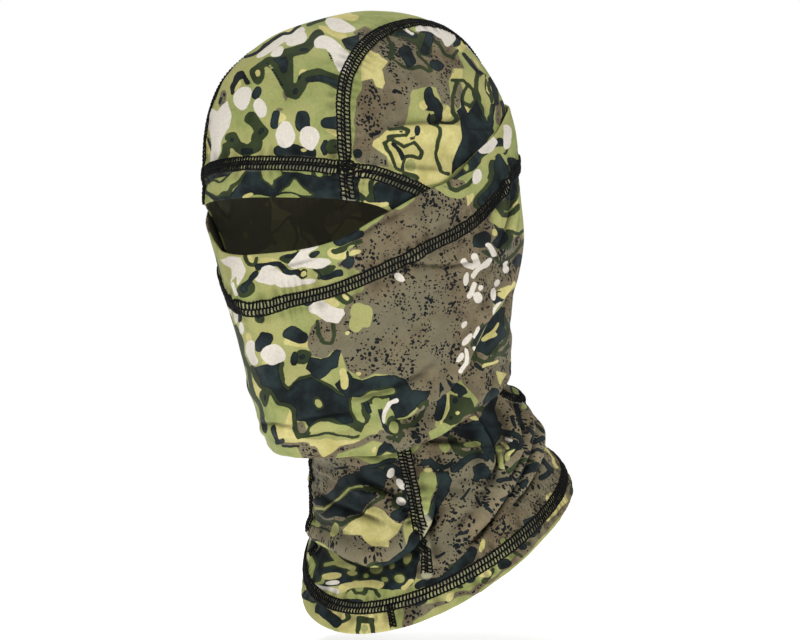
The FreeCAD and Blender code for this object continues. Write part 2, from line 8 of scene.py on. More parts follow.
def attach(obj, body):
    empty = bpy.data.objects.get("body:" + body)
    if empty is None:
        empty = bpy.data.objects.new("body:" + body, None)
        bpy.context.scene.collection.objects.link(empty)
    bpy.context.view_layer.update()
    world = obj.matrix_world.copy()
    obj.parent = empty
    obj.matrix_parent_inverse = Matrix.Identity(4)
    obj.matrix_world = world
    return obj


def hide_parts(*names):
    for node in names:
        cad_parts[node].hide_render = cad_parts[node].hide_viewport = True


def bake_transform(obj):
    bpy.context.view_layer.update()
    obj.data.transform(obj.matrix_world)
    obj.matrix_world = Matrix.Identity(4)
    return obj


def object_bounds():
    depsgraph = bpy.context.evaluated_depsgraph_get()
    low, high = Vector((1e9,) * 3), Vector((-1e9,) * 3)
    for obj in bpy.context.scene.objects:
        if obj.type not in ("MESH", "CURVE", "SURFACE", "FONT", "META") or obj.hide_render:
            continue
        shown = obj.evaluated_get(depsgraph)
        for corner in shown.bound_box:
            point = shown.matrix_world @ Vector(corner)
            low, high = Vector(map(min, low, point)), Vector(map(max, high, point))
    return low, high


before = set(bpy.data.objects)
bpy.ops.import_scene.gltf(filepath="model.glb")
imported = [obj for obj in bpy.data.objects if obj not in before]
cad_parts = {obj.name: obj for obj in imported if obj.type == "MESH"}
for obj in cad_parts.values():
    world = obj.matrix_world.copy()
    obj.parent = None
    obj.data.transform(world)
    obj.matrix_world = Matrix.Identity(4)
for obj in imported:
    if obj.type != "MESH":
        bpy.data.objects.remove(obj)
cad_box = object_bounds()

PI = math.pi
MM = 0.001

# ---------------------------------------------------------------- curves and base surfaces
# Same profile tables as the CAD model, in millimetres.  phi is in degrees from straight
# ahead (-Y), positive towards the wearer's left (+X).


def curve(xs, ys):
    xs, ys = np.asarray(xs, float), np.asarray(ys, float)
    step = np.diff(xs)
    slope = np.diff(ys) / step
    tan = np.zeros(len(xs))
    tan[0], tan[-1] = slope[0], slope[-1]
    for i in range(1, len(xs) - 1):
        if slope[i - 1] * slope[i] > 0:
            wa, wb = 2 * step[i] + step[i - 1], step[i] + 2 * step[i - 1]
            tan[i] = (wa + wb) / (wa / slope[i - 1] + wb / slope[i])

    def value(x):
        x = np.clip(np.asarray(x, float), xs[0], xs[-1])
        i = np.clip(np.searchsorted(xs, x, side="right") - 1, 0, len(xs) - 2)
        u = (x - xs[i]) / step[i]
        return ((2 * u ** 3 - 3 * u ** 2 + 1) * ys[i] + (u ** 3 - 2 * u ** 2 + u) * step[i] * tan[i]
                + (3 * u ** 2 - 2 * u ** 3) * ys[i + 1] + (u ** 3 - u ** 2) * step[i] * tan[i + 1])
    return value


def table(rows):
    rows = np.array(rows, float)
    return [curve(rows[:, 0], rows[:, k]) for k in range(1, rows.shape[1])]


HOOD = table([
    [100.0, 2.0, 45.0, 68.0, 60.0, 1.60, 2.0], [120.0, 0.0, 54.5, 79.0, 66.0, 1.55, 2.1],
    [150.0, -4.0, 63.8, 88.5, 70.0, 1.55, 2.1], [180.0, -7.5, 70.0, 95.0, 74.0, 1.57, 2.1],
    [205.0, -10.0, 73.8, 91.0, 78.0, 1.80, 2.1], [225.0, -10.0, 75.2, 93.8, 76.5, 2.10, 2.1],
    [240.0, -10.0, 75.0, 94.8, 76.0, 2.10, 2.1], [255.0, -9.7, 72.9, 95.2, 77.5, 2.10, 2.1],
    [265.0, -9.4, 70.3, 95.1, 79.0, 2.10, 2.1], [275.0, -8.8, 66.7, 94.4, 79.2, 2.10, 2.1],
    [285.0, -7.9, 62.0, 91.8, 75.6, 2.10, 2.1], [295.0, -6.7, 55.9, 85.0, 68.8, 2.10, 2.1],
    [303.0, -5.5, 49.6, 76.0, 61.7, 2.10, 2.1], [310.0, -4.1, 42.6, 65.5, 53.5, 2.10, 2.1],
    [316.0, -2.8, 34.7, 50.0, 44.3, 2.10, 2.1], [320.0, -1.8, 27.8, 36.5, 36.0, 2.10, 2.1],
    [323.0, -1.0, 20.7, 25.0, 27.0, 2.10, 2.1], [325.2, -0.4, 12.0, 14.0, 15.5, 2.10, 2.1],
    [326.3, 0.0, 3.0, 3.3, 3.6, 2.10, 2.1], [326.5, 0.0, 0.3, 0.3, 0.3, 2.10, 2.1]])
MASK = table([
    [92.0, 0.0, 51.0, 66.0, 78.0, 1.70, 2.1], [98.0, 0.0, 54.5, 71.5, 79.0, 1.62, 2.1],
    [104.0, 0.0, 57.0, 76.5, 80.0, 1.60, 2.1], [112.0, -1.0, 59.5, 80.5, 80.5, 1.58, 2.1],
    [125.0, -2.0, 62.5, 84.8, 81.0, 1.56, 2.1], [135.0, -3.0, 64.5, 87.8, 80.0, 1.55, 2.1],
    [150.0, -4.0, 67.0, 92.6, 78.4, 1.55, 2.1], [165.0, -6.0, 70.5, 97.0, 76.0, 1.55, 2.1],
    [175.0, -7.0, 72.5, 99.8, 76.5, 1.55, 2.1], [185.0, -8.0, 74.5, 99.4, 81.5, 1.58, 2.1],
    [195.0, -9.0, 76.0, 97.5, 85.5, 1.65, 2.1], [205.0, -10.0, 77.5, 94.5, 87.5, 1.80, 2.1],
    [215.0, -10.0, 78.0, 93.5, 85.5, 2.00, 2.1], [225.0, -10.0, 78.0, 94.5, 82.5, 2.10, 2.1],
    [240.0, -10.0, 77.5, 95.5, 80.0, 2.10, 2.1], [255.0, -9.7, 75.5, 97.0, 80.5, 2.10, 2.1],
    [265.0, -9.4, 73.0, 97.0, 82.0, 2.10, 2.1], [275.0, -8.8, 69.3, 96.5, 82.5, 2.10, 2.1],
    [285.0, -7.9, 64.6, 94.5, 79.0, 2.10, 2.1], [295.0, -6.7, 58.5, 87.5, 72.4, 2.10, 2.1]])
NECK = table([
    [0.00, 51.0, 72.0, 76.0, 77.0, 42.0, 42.0], [0.08, 49.5, 71.0, 72.5, 74.0, 49.0, 40.0],
    [0.15, 48.0, 69.5, 69.0, 70.5, 56.0, 38.0], [0.30, 43.0, 65.0, 61.5, 66.0, 68.0, 33.0],
    [0.55, 36.0, 60.0, 57.0, 68.0, 88.0, 28.0], [0.75, 30.0, 54.5, 55.0, 64.0, 104.0, 23.0],
    [0.86, 26.0, 51.5, 55.0, 51.0, 113.0, 21.0], [1.00, 20.0, 50.0, 56.0, 47.0, 125.0, 18.0]])
mask_edge = curve([0, 17, 30, 44, 61, 70, 86, 98, 122, 150, 180],
                  [194.5, 197.4, 203.0, 214.5, 227.5, 232.5, 248.0, 256.0, 271.0, 279.0, 281.0])
mask_fold = curve([0, 30, 47, 68, 101, 130, 180], [93.5, 94.0, 96.5, 103.5, 119.5, 132.5, 136.0])
brow = curve([0, 24, 33, 40, 46, 52, 55], [224.8, 223.8, 222.8, 221.0, 217.7, 211.0, 200.0])
brow_hem = curve([0, 15, 30, 39, 50, 60, 68], [241.5, 240.8, 238.5, 236.5, 231.7, 226.5, 220.0])
# the mask's hem seam dips over the nose, a little off the middle
mask_hem = curve([-180, -150, -114, -95, -80, -58, -39, -21, -10, 3, 13, 21, 39, 58, 80, 95, 114, 150, 180],
                 [252, 250, 240, 224.4, 211.4, 197.4, 186.0, 177.0, 172.6, 169.5, 172.8, 175.6, 185.4,
                  197.4, 211.4, 224.4, 240, 250, 252])
crown_half = curve([0, 20, 45, 70, 90, 120, 150, 180, 224],
                   [48.0, 46.5, 41.0, 35.0, 32.0, 31.0, 32.0, 33.0, 33.0])
CENTRE = np.array([0.0, -2.0, 215.0])
BACK_TURN = 224.0


def wrap(deg):
    return np.abs((np.asarray(deg) + 180.0) % 360.0 - 180.0)


def signed(deg):
    return (np.asarray(deg) + 180.0) % 360.0 - 180.0


def radius(deg, wide, front, back, nf, nb):
    r = np.radians(deg)
    c, s = np.cos(r), np.abs(np.sin(r))
    length, n = np.where(c > 0, front, back), np.where(c > 0, nf, nb)
    return ((s / wide) ** n + (np.abs(c) / length) ** n) ** (-1.0 / n)


def ring_at(rings, deg, z):
    deg, z = np.broadcast_arrays(np.asarray(deg, float), np.asarray(z, float))
    yc, wide, front, back, nf, nb = [g(z) for g in rings]
    r = radius(deg, wide, front, back, nf, nb)
    a = np.radians(deg)
    return np.stack([r * np.sin(a), yc - r * np.cos(a), z + 0 * r], -1)


def hood_at(deg, z):
    return ring_at(HOOD, deg, z)


def mask_at(deg, z):
    return ring_at(MASK, deg, z)


def neck_at(deg, share):
    deg, share = np.broadcast_arrays(np.asarray(deg, float), np.asarray(share, float))
    yc, wide, front, back, z, drop = [g(share) for g in NECK]
    a = np.radians(deg)
    r = radius(deg, wide, front, back, 2.0, 2.0)
    rise = 7.0 * np.sin(a) ** 2 * np.clip(1 - share / 0.35, 0, 1)
    return np.stack([r * np.sin(a), yc - r * np.cos(a), z - drop * np.cos(a) + rise], -1)


def inside_hood(p):
    yc, wide, front, back, nf, nb = [g(p[..., 2]) for g in HOOD]
    plan = np.hypot(p[..., 0], p[..., 1] - yc)
    deg = np.degrees(np.arctan2(p[..., 0], -(p[..., 1] - yc)))
    return (p[..., 2] < 326.49) & (plan < radius(deg, wide, front, back, nf, nb))


def hood_cast(dirs):
    dirs = dirs / np.linalg.norm(dirs, axis=-1, keepdims=True)
    lo, hi = np.full(dirs.shape[:-1], 5.0), np.full(dirs.shape[:-1], 230.0)
    for _ in range(34):
        mid = 0.5 * (lo + hi)
        ok = inside_hood(CENTRE + dirs * mid[..., None])
        lo, hi = np.where(ok, mid, lo), np.where(ok, hi, mid)
    return CENTRE + dirs * (0.5 * (lo + hi))[..., None]


def crown_at(turn, side):
    """Hood surface at a turn (0 ahead, 90 up, 180 behind) and a sideways distance."""
    turn, side = np.broadcast_arrays(np.asarray(turn, float), np.asarray(side, float))
    t = np.radians(turn)
    lo, hi = np.full(turn.shape, 1.0), np.full(turn.shape, 230.0)
    for _ in range(34):
        rho = 0.5 * (lo + hi)
        p = np.stack([side, CENTRE[1] - rho * np.cos(t), CENTRE[2] + rho * np.sin(t)], -1)
        ok = inside_hood(p)
        lo, hi = np.where(ok, rho, lo), np.where(ok, hi, rho)
    rho = 0.5 * (lo + hi)
    return np.stack([side, CENTRE[1] - rho * np.cos(t), CENTRE[2] + rho * np.sin(t)], -1)


def hood_deg(p):
    return np.degrees(np.arctan2(np.abs(p[..., 0]), -(p[..., 1] - HOOD[0](p[..., 2]))))


def brow_turn(frac):
    """Turn at which the crown panel reaches the eye opening, for a share of its half width."""
    frac = np.asarray(frac, float)
    lo, hi = np.full(frac.shape, -15.0), np.full(frac.shape, 40.0)
    for _ in range(30):
        mid = 0.5 * (lo + hi)
        p = crown_at(mid, frac * crown_half(np.maximum(mid, 0)))
        high = p[..., 2] > brow(hood_deg(p))
        hi, lo = np.where(high, mid, hi), np.where(high, lo, mid)
    return 0.5 * (lo + hi)


# ---------------------------------------------------------------- deterministic noise
def lattice(ix, iy, iz, seed):
    n = (ix * 374761393 + iy * 668265263 + iz * 2147483647 + seed * 1274126177) & 0xFFFFFFFF
    n = ((n ^ (n >> 13)) * 1103515245) & 0xFFFFFFFF
    n = n ^ (n >> 16)
    return (n & 0xFFFFFF) / float(0xFFFFFF)


def noise3(p, scale, seed=0):
    """Smooth value noise, -1 to 1; p in mm, scale in mm per cell."""
    q = np.asarray(p, float) / scale + 1000.0
    i = np.floor(q).astype(np.int64)
    f = q - i
    f = f * f * f * (f * (f * 6 - 15) + 10)
    out = 0.0
    for dx in (0, 1):
        for dy in (0, 1):
            for dz in (0, 1):
                w = ((f[..., 0] if dx else 1 - f[..., 0]) * (f[..., 1] if dy else 1 - f[..., 1])
                     * (f[..., 2] if dz else 1 - f[..., 2]))
                out = out + w * lattice(i[..., 0] + dx, i[..., 1] + dy, i[..., 2] + dz, seed)
    return out * 2 - 1


def smoothstep(a, b, x):
    t = np.clip((x - a) / (b - a), 0, 1)
    return t * t * (3 - 2 * t)


def polyline_distance(p, line, chunk=6000):
    """Distance to a polyline, position along it (mm) and the nearest segment's index."""
    flat = p.reshape(-1, 3)
    a, b = line[:-1], line[1:]
    ab = b - a
    ll = (ab ** 2).sum(1)
    run = np.concatenate([[0], np.cumsum(np.sqrt(ll))])
    dist, along, which = np.empty(len(flat)), np.empty(len(flat)), np.empty(len(flat), int)
    for s in range(0, len(flat), chunk):
        q = flat[s:s + chunk]
        t = np.clip(((q[:, None] - a[None]) * ab[None]).sum(2) / ll[None], 0, 1)
        d = np.linalg.norm(a[None] + ab[None] * t[..., None] - q[:, None], axis=2)
        k = d.argmin(1)
        r = np.arange(len(q))
        dist[s:s + chunk], which[s:s + chunk] = d[r, k], k
        along[s:s + chunk] = run[k] + t[r, k] * np.sqrt(ll[k])
    shape = p.shape[:-1]
    return dist.reshape(shape), along.reshape(shape), which.reshape(shape), run[-1]


def dense(points, spacing=3.0):
    """Smooth line through a few points (Catmull-Rom), at even spacing."""
    p = np.asarray(points, float)
    p = np.vstack([2 * p[0] - p[1], p, 2 * p[-1] - p[-2]])
    out = []
    for i in range(1, len(p) - 2):
        for t in np.linspace(0, 1, 12, endpoint=False):
            out.append(0.5 * ((2 * p[i]) + (-p[i - 1] + p[i + 1]) * t
                              + (2 * p[i - 1] - 5 * p[i] + 4 * p[i + 1] - p[i + 2]) * t * t
                              + (-p[i - 1] + 3 * p[i] - 3 * p[i + 1] + p[i + 2]) * t ** 3))
    out.append(p[-2])
    return resample(np.array(out), spacing)


def resample(line, spacing):
    seg = np.linalg.norm(np.diff(line, axis=0), axis=1)
    run = np.concatenate([[0], np.cumsum(seg)])
    n = max(int(round(run[-1] / spacing)), 2) + 1
    at = np.linspace(0, run[-1], n)
    return np.stack([np.interp(at, run, line[:, k]) for k in range(3)], -1)


# ---------------------------------------------------------------- seam lines on the base surfaces
START = float(brow_turn(np.array(1.0)))
turns = np.linspace(START, BACK_TURN, 260)
CROWN_L = crown_at(turns, crown_half(np.maximum(turns, 0)))
CROWN_R = CROWN_L * np.array([-1, 1, 1])
_deg = np.linspace(-66, 66, 160)
BROW_LINE = hood_at(_deg, brow_hem(np.abs(_deg)))
_deg = np.linspace(0, 360, 361)
MASK_HEM_LINE = mask_at(_deg + 180, mask_hem(signed(_deg + 180)))
SEAM_L, SEAM_R = 35.0, -46.0
_t = np.linspace(0.2, 1.0, 60)
NECK_L, NECK_R = neck_at(SEAM_L + 0 * _t, _t), neck_at(SEAM_R + 0 * _t, _t)
# the left seam wanders a little as the cloth is pulled
NECK_L = neck_at(SEAM_L + 2.0 * np.sin((_t - 0.2) * 7.0) * (1 - _t), _t)
hem_share = curve([0, 50, 90, 124, 180], [0.105, 0.115, 0.125, 0.13, 0.12])
HEM_LINE = neck_at(_deg + 180, hem_share(wrap(_deg + 180)))
nape_share = curve([95, 115, 130, 180], [0.90, 0.885, 0.76, 0.70])
_n = np.linspace(112, 248, 150)
NAPE_LINE = neck_at(_n, nape_share(wrap(_n)))
BAND_TOP = 0.205
_t2 = np.linspace(0.004, BAND_TOP, 20)
JOIN_LINE = neck_at(20.0 - 4.0 * _t2 / BAND_TOP, _t2)

# ---------------------------------------------------------------- folds
# Each fold: line, width, height and kind.  A ridge or valley is symmetric; a step lowers the
# cloth on one side of the line, as where one layer hangs over the next.


def fold(p, n, line, width, height, kind="ridge", ends=0.2, width2=None, slide=None):
    """Height of one fold; an overlap also slides the cloth sideways, into slide."""
    pad = max(4 * width, width2 or 0) + 2
    near = ((p > line.min(0) - pad) & (p < line.max(0) + pad)).all(-1)
    out = np.zeros(p.shape[:-1])
    if not near.any():
        return out
    q, m = p[near], n[near]
    d, s, k, total = polyline_distance(q, line)
    ends = max(ends, 1e-3)
    taper = smoothstep(0, ends, s / total) * smoothstep(0, ends, 1 - s / total)
    if kind == "ridge":
        out[near] = height * np.exp(-(d / width) ** 2) * taper
        return out
    # signed side: positive to the left of the line as seen from outside
    t = np.gradient(line, axis=0)
    t /= np.linalg.norm(t, axis=1, keepdims=True)
    side = np.cross(m, t[k])
    g = d * np.sign(((q - line[k]) * side).sum(-1))
    if kind == "step":          # one layer hangs over the next on the positive side
        w2 = width2 or width * 4
        drop = smoothstep(-width * 0.25, width * 0.75, g) * (1 - smoothstep(width, w2, g))
        lip = 0.30 * np.exp(-((g + width * 0.9) / (width * 1.3)) ** 2)
        out[near] = height * (lip - drop) * taper
        if slide is not None:
            push = 0.75 * height * np.exp(-((g + width * 0.15) / (width * 0.9)) ** 2) * taper
            slide[near] += side * push[:, None]
    elif kind == "roll":        # ridge with a sharp valley on the positive side
        out[near] = height * (np.exp(-((g + width * 0.6) / width) ** 2)
                              - 0.8 * np.exp(-((g - width * 0.5) / (width * 0.48)) ** 2)) * taper
        if slide is not None:
            push = 0.35 * height * np.exp(-((g + width * 0.1) / (width * 0.6)) ** 2) * taper
            slide[near] += side * push[:, None]
    return out


def seam_relief(p, line, proud=0.55, pucker=0.28, seed=0, taper_end=0.0):
    """Cloth is thicker under a flat seam, and puckers a little on both sides of it."""
    d, s, k, total = polyline_distance(p, line)
    out = proud * np.exp(-(d / 3.6) ** 4)
    out -= 0.30 * np.exp(-((d - 6.2) / 2.2) ** 2)
    phase = s / 8.5 + 1.1 * noise3(np.stack([s, 0 * s, 0 * s], -1), 22.0, seed) * 2
    out += pucker * np.sin(2 * PI * phase) * np.exp(-((d - 4.0) / 6.0) ** 2) * smoothstep(1.5, 4.5, d)
    return out


# ---------------------------------------------------------------- grids to cloth
def grid_normals(p, closed):
    if closed:
        du = np.roll(p, -1, 0) - np.roll(p, 1, 0)
    else:
        du = np.gradient(p, axis=0)
    dv = np.gradient(p, axis=1)
    n = np.cross(du, dv)
    n /= np.maximum(np.linalg.norm(n, axis=-1, keepdims=True), 1e-9)
    return n


def outward(p, n):
    c = np.stack([0 * p[..., 0], 12 + 0 * p[..., 1], np.clip(p[..., 2], 60, 215)], -1)
    return 1.0 if ((p - c) * n).sum() > 0 else -1.0


def tidy(p, closed):
    """Grid normals that point away from the head."""
    n = grid_normals(p, closed)
    return n * outward(p, n)


def hollows(d, base, closed):
    """How far each point lies below the cloth around it, in mm."""
    su = np.linalg.norm(np.diff(base, axis=0), axis=-1).mean()
    sv = np.linalg.norm(np.diff(base, axis=1), axis=-1).mean()
    out = np.zeros_like(d)
    for reach, share in ((2.4, 0.5), (7.0, 0.5)):
        soft = d
        for axis, step in ((0, su), (1, sv)):
            r = max(int(round(reach / step)), 1)
            pads = [(0, 0), (0, 0)]
            pads[axis] = (r, r)
            wide = np.pad(soft, pads, mode="wrap" if closed and axis == 0 else "edge")
            run = np.cumsum(wide, axis)
            zero = np.zeros_like(np.take(run, [0], axis))
            run = np.concatenate([zero, run], axis)
            n = soft.shape[axis]
            soft = (np.take(run, np.arange(n) + 2 * r + 1, axis) - np.take(run, np.arange(n), axis)) / (2 * r + 1)
        out += share * (soft - d)
    return out


class Cloth:
    def __init__(self, name, base, closed=False, thick=0.75, relief=None, offset=(0, 0, 0),
                 shape=None, sense=None):
        self.name, self.closed = name, closed
        n = grid_normals(base, closed)
        s = sense if sense is not None else outward(base, n)
        n = n * s
        d, moved = relief(base, n)
        p = base + n * d[..., None] + moved
        # the depth below the cloth around, painted into the colour as shade in folds and as highlight on ridges
        self.painted_shading = hollows(d, base, closed)
        if shape is not None:
            p = shape(p)
        self.base, self.p = base, p
        self.n = grid_normals(p, closed) * s
        self.flip = s < 0
        self.thick = thick
        self.offset, self.fields = np.array(offset, float), {}

    def outer_faces(self):
        nu, nv = self.p.shape[:2]
        i = np.arange(nu if self.closed else nu - 1)
        j = np.arange(nv - 1)
        ii, jj = np.meshgrid(i, j, indexing="ij")
        i2 = (ii + 1) % nu
        a, b, c, d = ii * nv + jj, i2 * nv + jj, i2 * nv + jj + 1, ii * nv + jj + 1
        f = np.stack([a, b, c, d], -1).reshape(-1, 4)
        return f[:, ::-1] if self.flip else f

    def make(self, mats):
        nu, nv = self.p.shape[:2]
        th = np.broadcast_to(self.thick, (nu, nv))
        inner = self.p - self.n * th[..., None]
        count = nu * nv
        verts = [self.p.reshape(-1, 3), inner.reshape(-1, 3)]
        pat = [self.base.reshape(-1, 3)] * 2
        src = [np.arange(count), np.arange(count)]
        of = self.outer_faces()
        faces = [of, of[:, ::-1] + count]
        mat = [np.zeros(len(of), int), np.ones(len(of), int)]
        extra = 2 * count
        edges = [(np.arange(nu) * nv, 1), (np.arange(nu) * nv + nv - 1, -1)]
        if not self.closed:
            edges += [(np.arange(nv), nv), (np.arange(nv) + (nu - 1) * nv, -nv)]
        flat, inn = self.p.reshape(-1, 3), inner.reshape(-1, 3)
        thf = th.reshape(-1)
        for idx, inward in edges:
            loop = self.closed and abs(inward) == 1
            away = flat[idx] - flat[idx + inward]
            away /= np.maximum(np.linalg.norm(away, axis=1, keepdims=True), 1e-9)
            rows = [idx]
            for ang in (45.0, 90.0, 135.0):
                c, s = math.cos(math.radians(ang)), math.sin(math.radians(ang))
                mid = 0.5 * (flat[idx] + inn[idx])
                v = mid + (flat[idx] - mid) * c + away * (thf[idx, None] * 0.5 * s)
                verts.append(v)
                pat.append(self.base.reshape(-1, 3)[idx] + away * 0.4)
                src.append(idx)
                rows.append(extra + np.arange(len(idx)))
                extra += len(idx)
            rows.append(idx + count)
            for a, b in zip(rows[:-1], rows[1:]):
                if loop:
                    a2, b2 = np.roll(a, -1), np.roll(b, -1)
                    f = np.stack([a, a2, b2, b], -1)
                else:
                    f = np.stack([a[:-1], a[1:], b[1:], b[:-1]], -1)
                faces.append(f)
                mat.append(np.zeros(len(f), int))
        verts, pat, src = np.vstack(verts) * MM, np.vstack(pat), np.concatenate(src)
        faces, mat = np.vstack(faces), np.concatenate(mat)
        mesh = new_mesh(self.name, verts, faces)
        mesh.polygons.foreach_set("material_index", mat.astype(np.int32))
        att = mesh.attributes.new("pat", "FLOAT_VECTOR", "POINT")
        att.data.foreach_set("vector", ((pat + self.offset) * MM).astype(np.float32).ravel())
        for key, val in self.fields.items():
            a = mesh.attributes.new(key, "FLOAT", "POINT")
            a.data.foreach_set("value", val.reshape(-1)[src].astype(np.float32))
        for m in mats:
            mesh.materials.append(m)
        import bmesh
        bm = bmesh.new()
        bm.from_mesh(mesh)
        bmesh.ops.recalc_face_normals(bm, faces=bm.faces)
        bm.to_mesh(mesh)
        bm.free()
        # cloth coordinates in metres for the knit
        step_u = np.linalg.norm(np.diff(self.base, axis=0), axis=-1).mean(1)
        step_v = np.linalg.norm(np.diff(self.base, axis=1), axis=-1).mean(0)
        cu = np.concatenate([[0], np.cumsum(step_u)])
        cv = np.concatenate([[0], np.cumsum(step_v)])
        uu, vv = np.meshgrid(cu, cv, indexing="ij")
        uv_v = np.stack([uu.reshape(-1), vv.reshape(-1)], -1)[src] * MM
        layer = mesh.uv_layers.new(name="cloth")
        loops = np.empty(len(mesh.loops), np.int32)
        mesh.loops.foreach_get("vertex_index", loops)
        layer.data.foreach_set("uv", uv_v[loops].astype(np.float32).ravel())
        obj = bpy.data.objects.new(self.name, mesh)
        bpy.context.scene.collection.objects.link(obj)
        return obj

    def area(self):
        f = self.outer_faces()
        v = self.p.reshape(-1, 3)[f] * MM
        return float(0.5 * np.linalg.norm(np.cross(v[:, 2] - v[:, 0], v[:, 3] - v[:, 1]), axis=1).sum())


def new_mesh(name, verts, faces):
    mesh = bpy.data.meshes.new(name)
    mesh.vertices.add(len(verts))
    mesh.vertices.foreach_set("co", np.asarray(verts, np.float32).ravel())
    faces = np.asarray(faces)
    k = faces.shape[1]
    mesh.loops.add(len(faces) * k)
    mesh.loops.foreach_set("vertex_index", faces.astype(np.int32).ravel())
    mesh.polygons.add(len(faces))
    mesh.polygons.foreach_set("loop_start", np.arange(0, len(faces) * k, k, dtype=np.int32))
    mesh.polygons.foreach_set("loop_total", np.full(len(faces), k, np.int32))
    mesh.update(calc_edges=True)
    mesh.validate()
    mesh.polygons.foreach_set("use_smooth", np.ones(len(mesh.polygons), bool))
    return mesh


def surface_tree(cloths):
    verts, faces, base = [], [], 0
    for c in cloths:
        verts.append(c.p.reshape(-1, 3))
        faces.append(c.outer_faces() + base)
        base += c.p.shape[0] * c.p.shape[1]
    v = np.vstack(verts)
    return BVHTree.FromPolygons([Vector(x) for x in v], [tuple(int(i) for i in f) for f in np.vstack(faces)])


# ---------------------------------------------------------------- thread
class Threads:
    """Collects tubes of thread laid on a cloth."""

    def __init__(self, name, tree, sides=6):
        self.name, self.tree, self.sides = name, tree, sides
        self.v, self.f, self.n = [], [], 0

    def lay(self, pts, lift):
        """Snap points to the cloth and lift them off it."""
        out, nrm = np.empty((len(pts), 3)), np.empty((len(pts), 3))
        for i, q in enumerate(pts):
            loc, no, _, _ = self.tree.find_nearest(Vector(q))
            out[i], nrm[i] = loc, no
        lift = np.broadcast_to(lift, len(pts))
        return out + nrm * lift[:, None], nrm

    def tube(self, pts, nrm, rad, flat=0.8):
        k = self.sides
        rad = np.broadcast_to(rad, len(pts))
        t = np.gradient(pts, axis=0)
        t /= np.maximum(np.linalg.norm(t, axis=1, keepdims=True), 1e-9)
        b = np.cross(t, nrm)
        b /= np.maximum(np.linalg.norm(b, axis=1, keepdims=True), 1e-9)
        m = np.cross(b, t)
        ang = np.arange(k) * 2 * PI / k
        ring = (pts[:, None] + (b[:, None] * np.cos(ang)[None, :, None]
                                + m[:, None] * (flat * np.sin(ang))[None, :, None]) * rad[:, None, None])
        caps = np.stack([pts[0] - t[0] * rad[0] * 0.7, pts[-1] + t[-1] * rad[-1] * 0.7])
        n = len(pts)
        self.v.append(np.vstack([ring.reshape(-1, 3), caps]))
        i, j = np.meshgrid(np.arange(n - 1), np.arange(k), indexing="ij")
        j2 = (j + 1) % k
        quads = np.stack([i * k + j, i * k + j2, (i + 1) * k + j2, (i + 1) * k + j], -1).reshape(-1, 4)
        jj = np.arange(k)
        first = np.stack([(jj + 1) % k, jj, np.full(k, n * k), np.full(k, n * k)], -1)
        last = np.stack([(n - 1) * k + jj, (n - 1) * k + (jj + 1) % k, np.full(k, n * k + 1),
                         np.full(k, n * k + 1)], -1)
        self.f.append((quads + self.n, first[:, :3] + self.n, last[:, :3] + self.n))
        self.n += n * k + 2

    def make(self, mat):
        v = np.vstack(self.v) * MM
        faces = []
        for q, a, b in self.f:
            faces += [tuple(x) for x in q.tolist()] + [tuple(x) for x in a.tolist()] + [tuple(x) for x in b.tolist()]
        mesh = bpy.data.meshes.new(self.name)
        mesh.from_pydata(v.tolist(), [], faces)
        mesh.update()
        mesh.polygons.foreach_set("use_smooth", np.ones(len(mesh.polygons), bool))
        mesh.materials.append(mat)
        obj = bpy.data.objects.new(self.name, mesh)
        bpy.context.scene.collection.objects.link(obj)
        return obj


def seam_threads(th, line, half=3.05, pitch=1.72, lean=0.35, rad=0.50, closed=False, seed=3, lift=0.25,
                 bump=None, rails=(-1.0, 0.0, 1.0), cross=1.0):
    """A flat seam: lengthwise threads with rows of leaning cross threads between them."""
    line = resample(line, 0.9)
    run = np.concatenate([[0], np.cumsum(np.linalg.norm(np.diff(line, axis=0), axis=1))])
    base, nrm = th.lay(line, 0.0)
    tan = np.gradient(line, axis=0)
    tan /= np.linalg.norm(tan, axis=1, keepdims=True)
    across = np.cross(nrm, tan)
    across /= np.linalg.norm(across, axis=1, keepdims=True)

    def at(s, a):
        s = np.clip(np.asarray(s, float), 0, run[-1])
        p = np.stack([np.interp(s, run, line[:, k]) for k in range(3)], -1)
        b = np.stack([np.interp(s, run, across[:, k]) for k in range(3)], -1)
        return p + b * np.asarray(a, float)[..., None]

    def rise(s):
        return 0.0 if bump is None else bump(np.asarray(s, float), run[-1])

    total = run[-1]
    rails = [half * x for x in rails]
    for k, a in enumerate(rails):
        thick = rad * (0.95 if k in (0, len(rails) - 1) else 0.78)
        s = np.arange(0.2, total - 0.2, 0.43)
        wob = 0.16 * np.sin(2 * PI * s / pitch + k) + 0.18 * noise3(np.stack([s, s * 0, s * 0 + 9 * k], -1), 7.0, seed)
        pts, nn = th.lay(at(s, a + wob), 0.0)
        pts = pts + nn * (lift + 0.10 + 0.10 * np.sin(2 * PI * s / pitch + 1.3) + rise(s))[:, None]
        th.tube(pts, nn, thick * (0.98 + 0.16 * np.sin(2 * PI * s / pitch + 0.6)), 0.8)
    count = int((total - 1.0) / pitch)
    jit = lattice(np.arange(count * 5), np.zeros(count * 5, int), np.zeros(count * 5, int), seed)
    u = np.array([0.0, 0.22, 0.5, 0.78, 1.0])
    for i in range(count):
        s0 = 0.4 + i * pitch + 0.22 * (jit[5 * i] - 0.5)
        for row, (lo, hi) in enumerate(zip(rails[:-1], rails[1:])):
            # each row carries on from the one before; the narrow middle row crosses the steepest
            slope = lean * pitch * (2.2 if len(rails) == 4 and row == 1 else 1.0)
            a = lo + (hi - lo) * u
            s = s0 + (u - 0.5) * slope + row * 0.5 * pitch + 0.16 * np.sin(PI * u) * (1 if row % 2 else -1)
            pts, nn = th.lay(at(s, a), 0.0)
            pts = pts + nn * (lift + 0.14 + 0.22 * np.sin(PI * u) + rise(s))[:, None]
            th.tube(pts, nn, rad * cross * (0.90 + 0.22 * jit[5 * i + 1 + row]), 0.85)


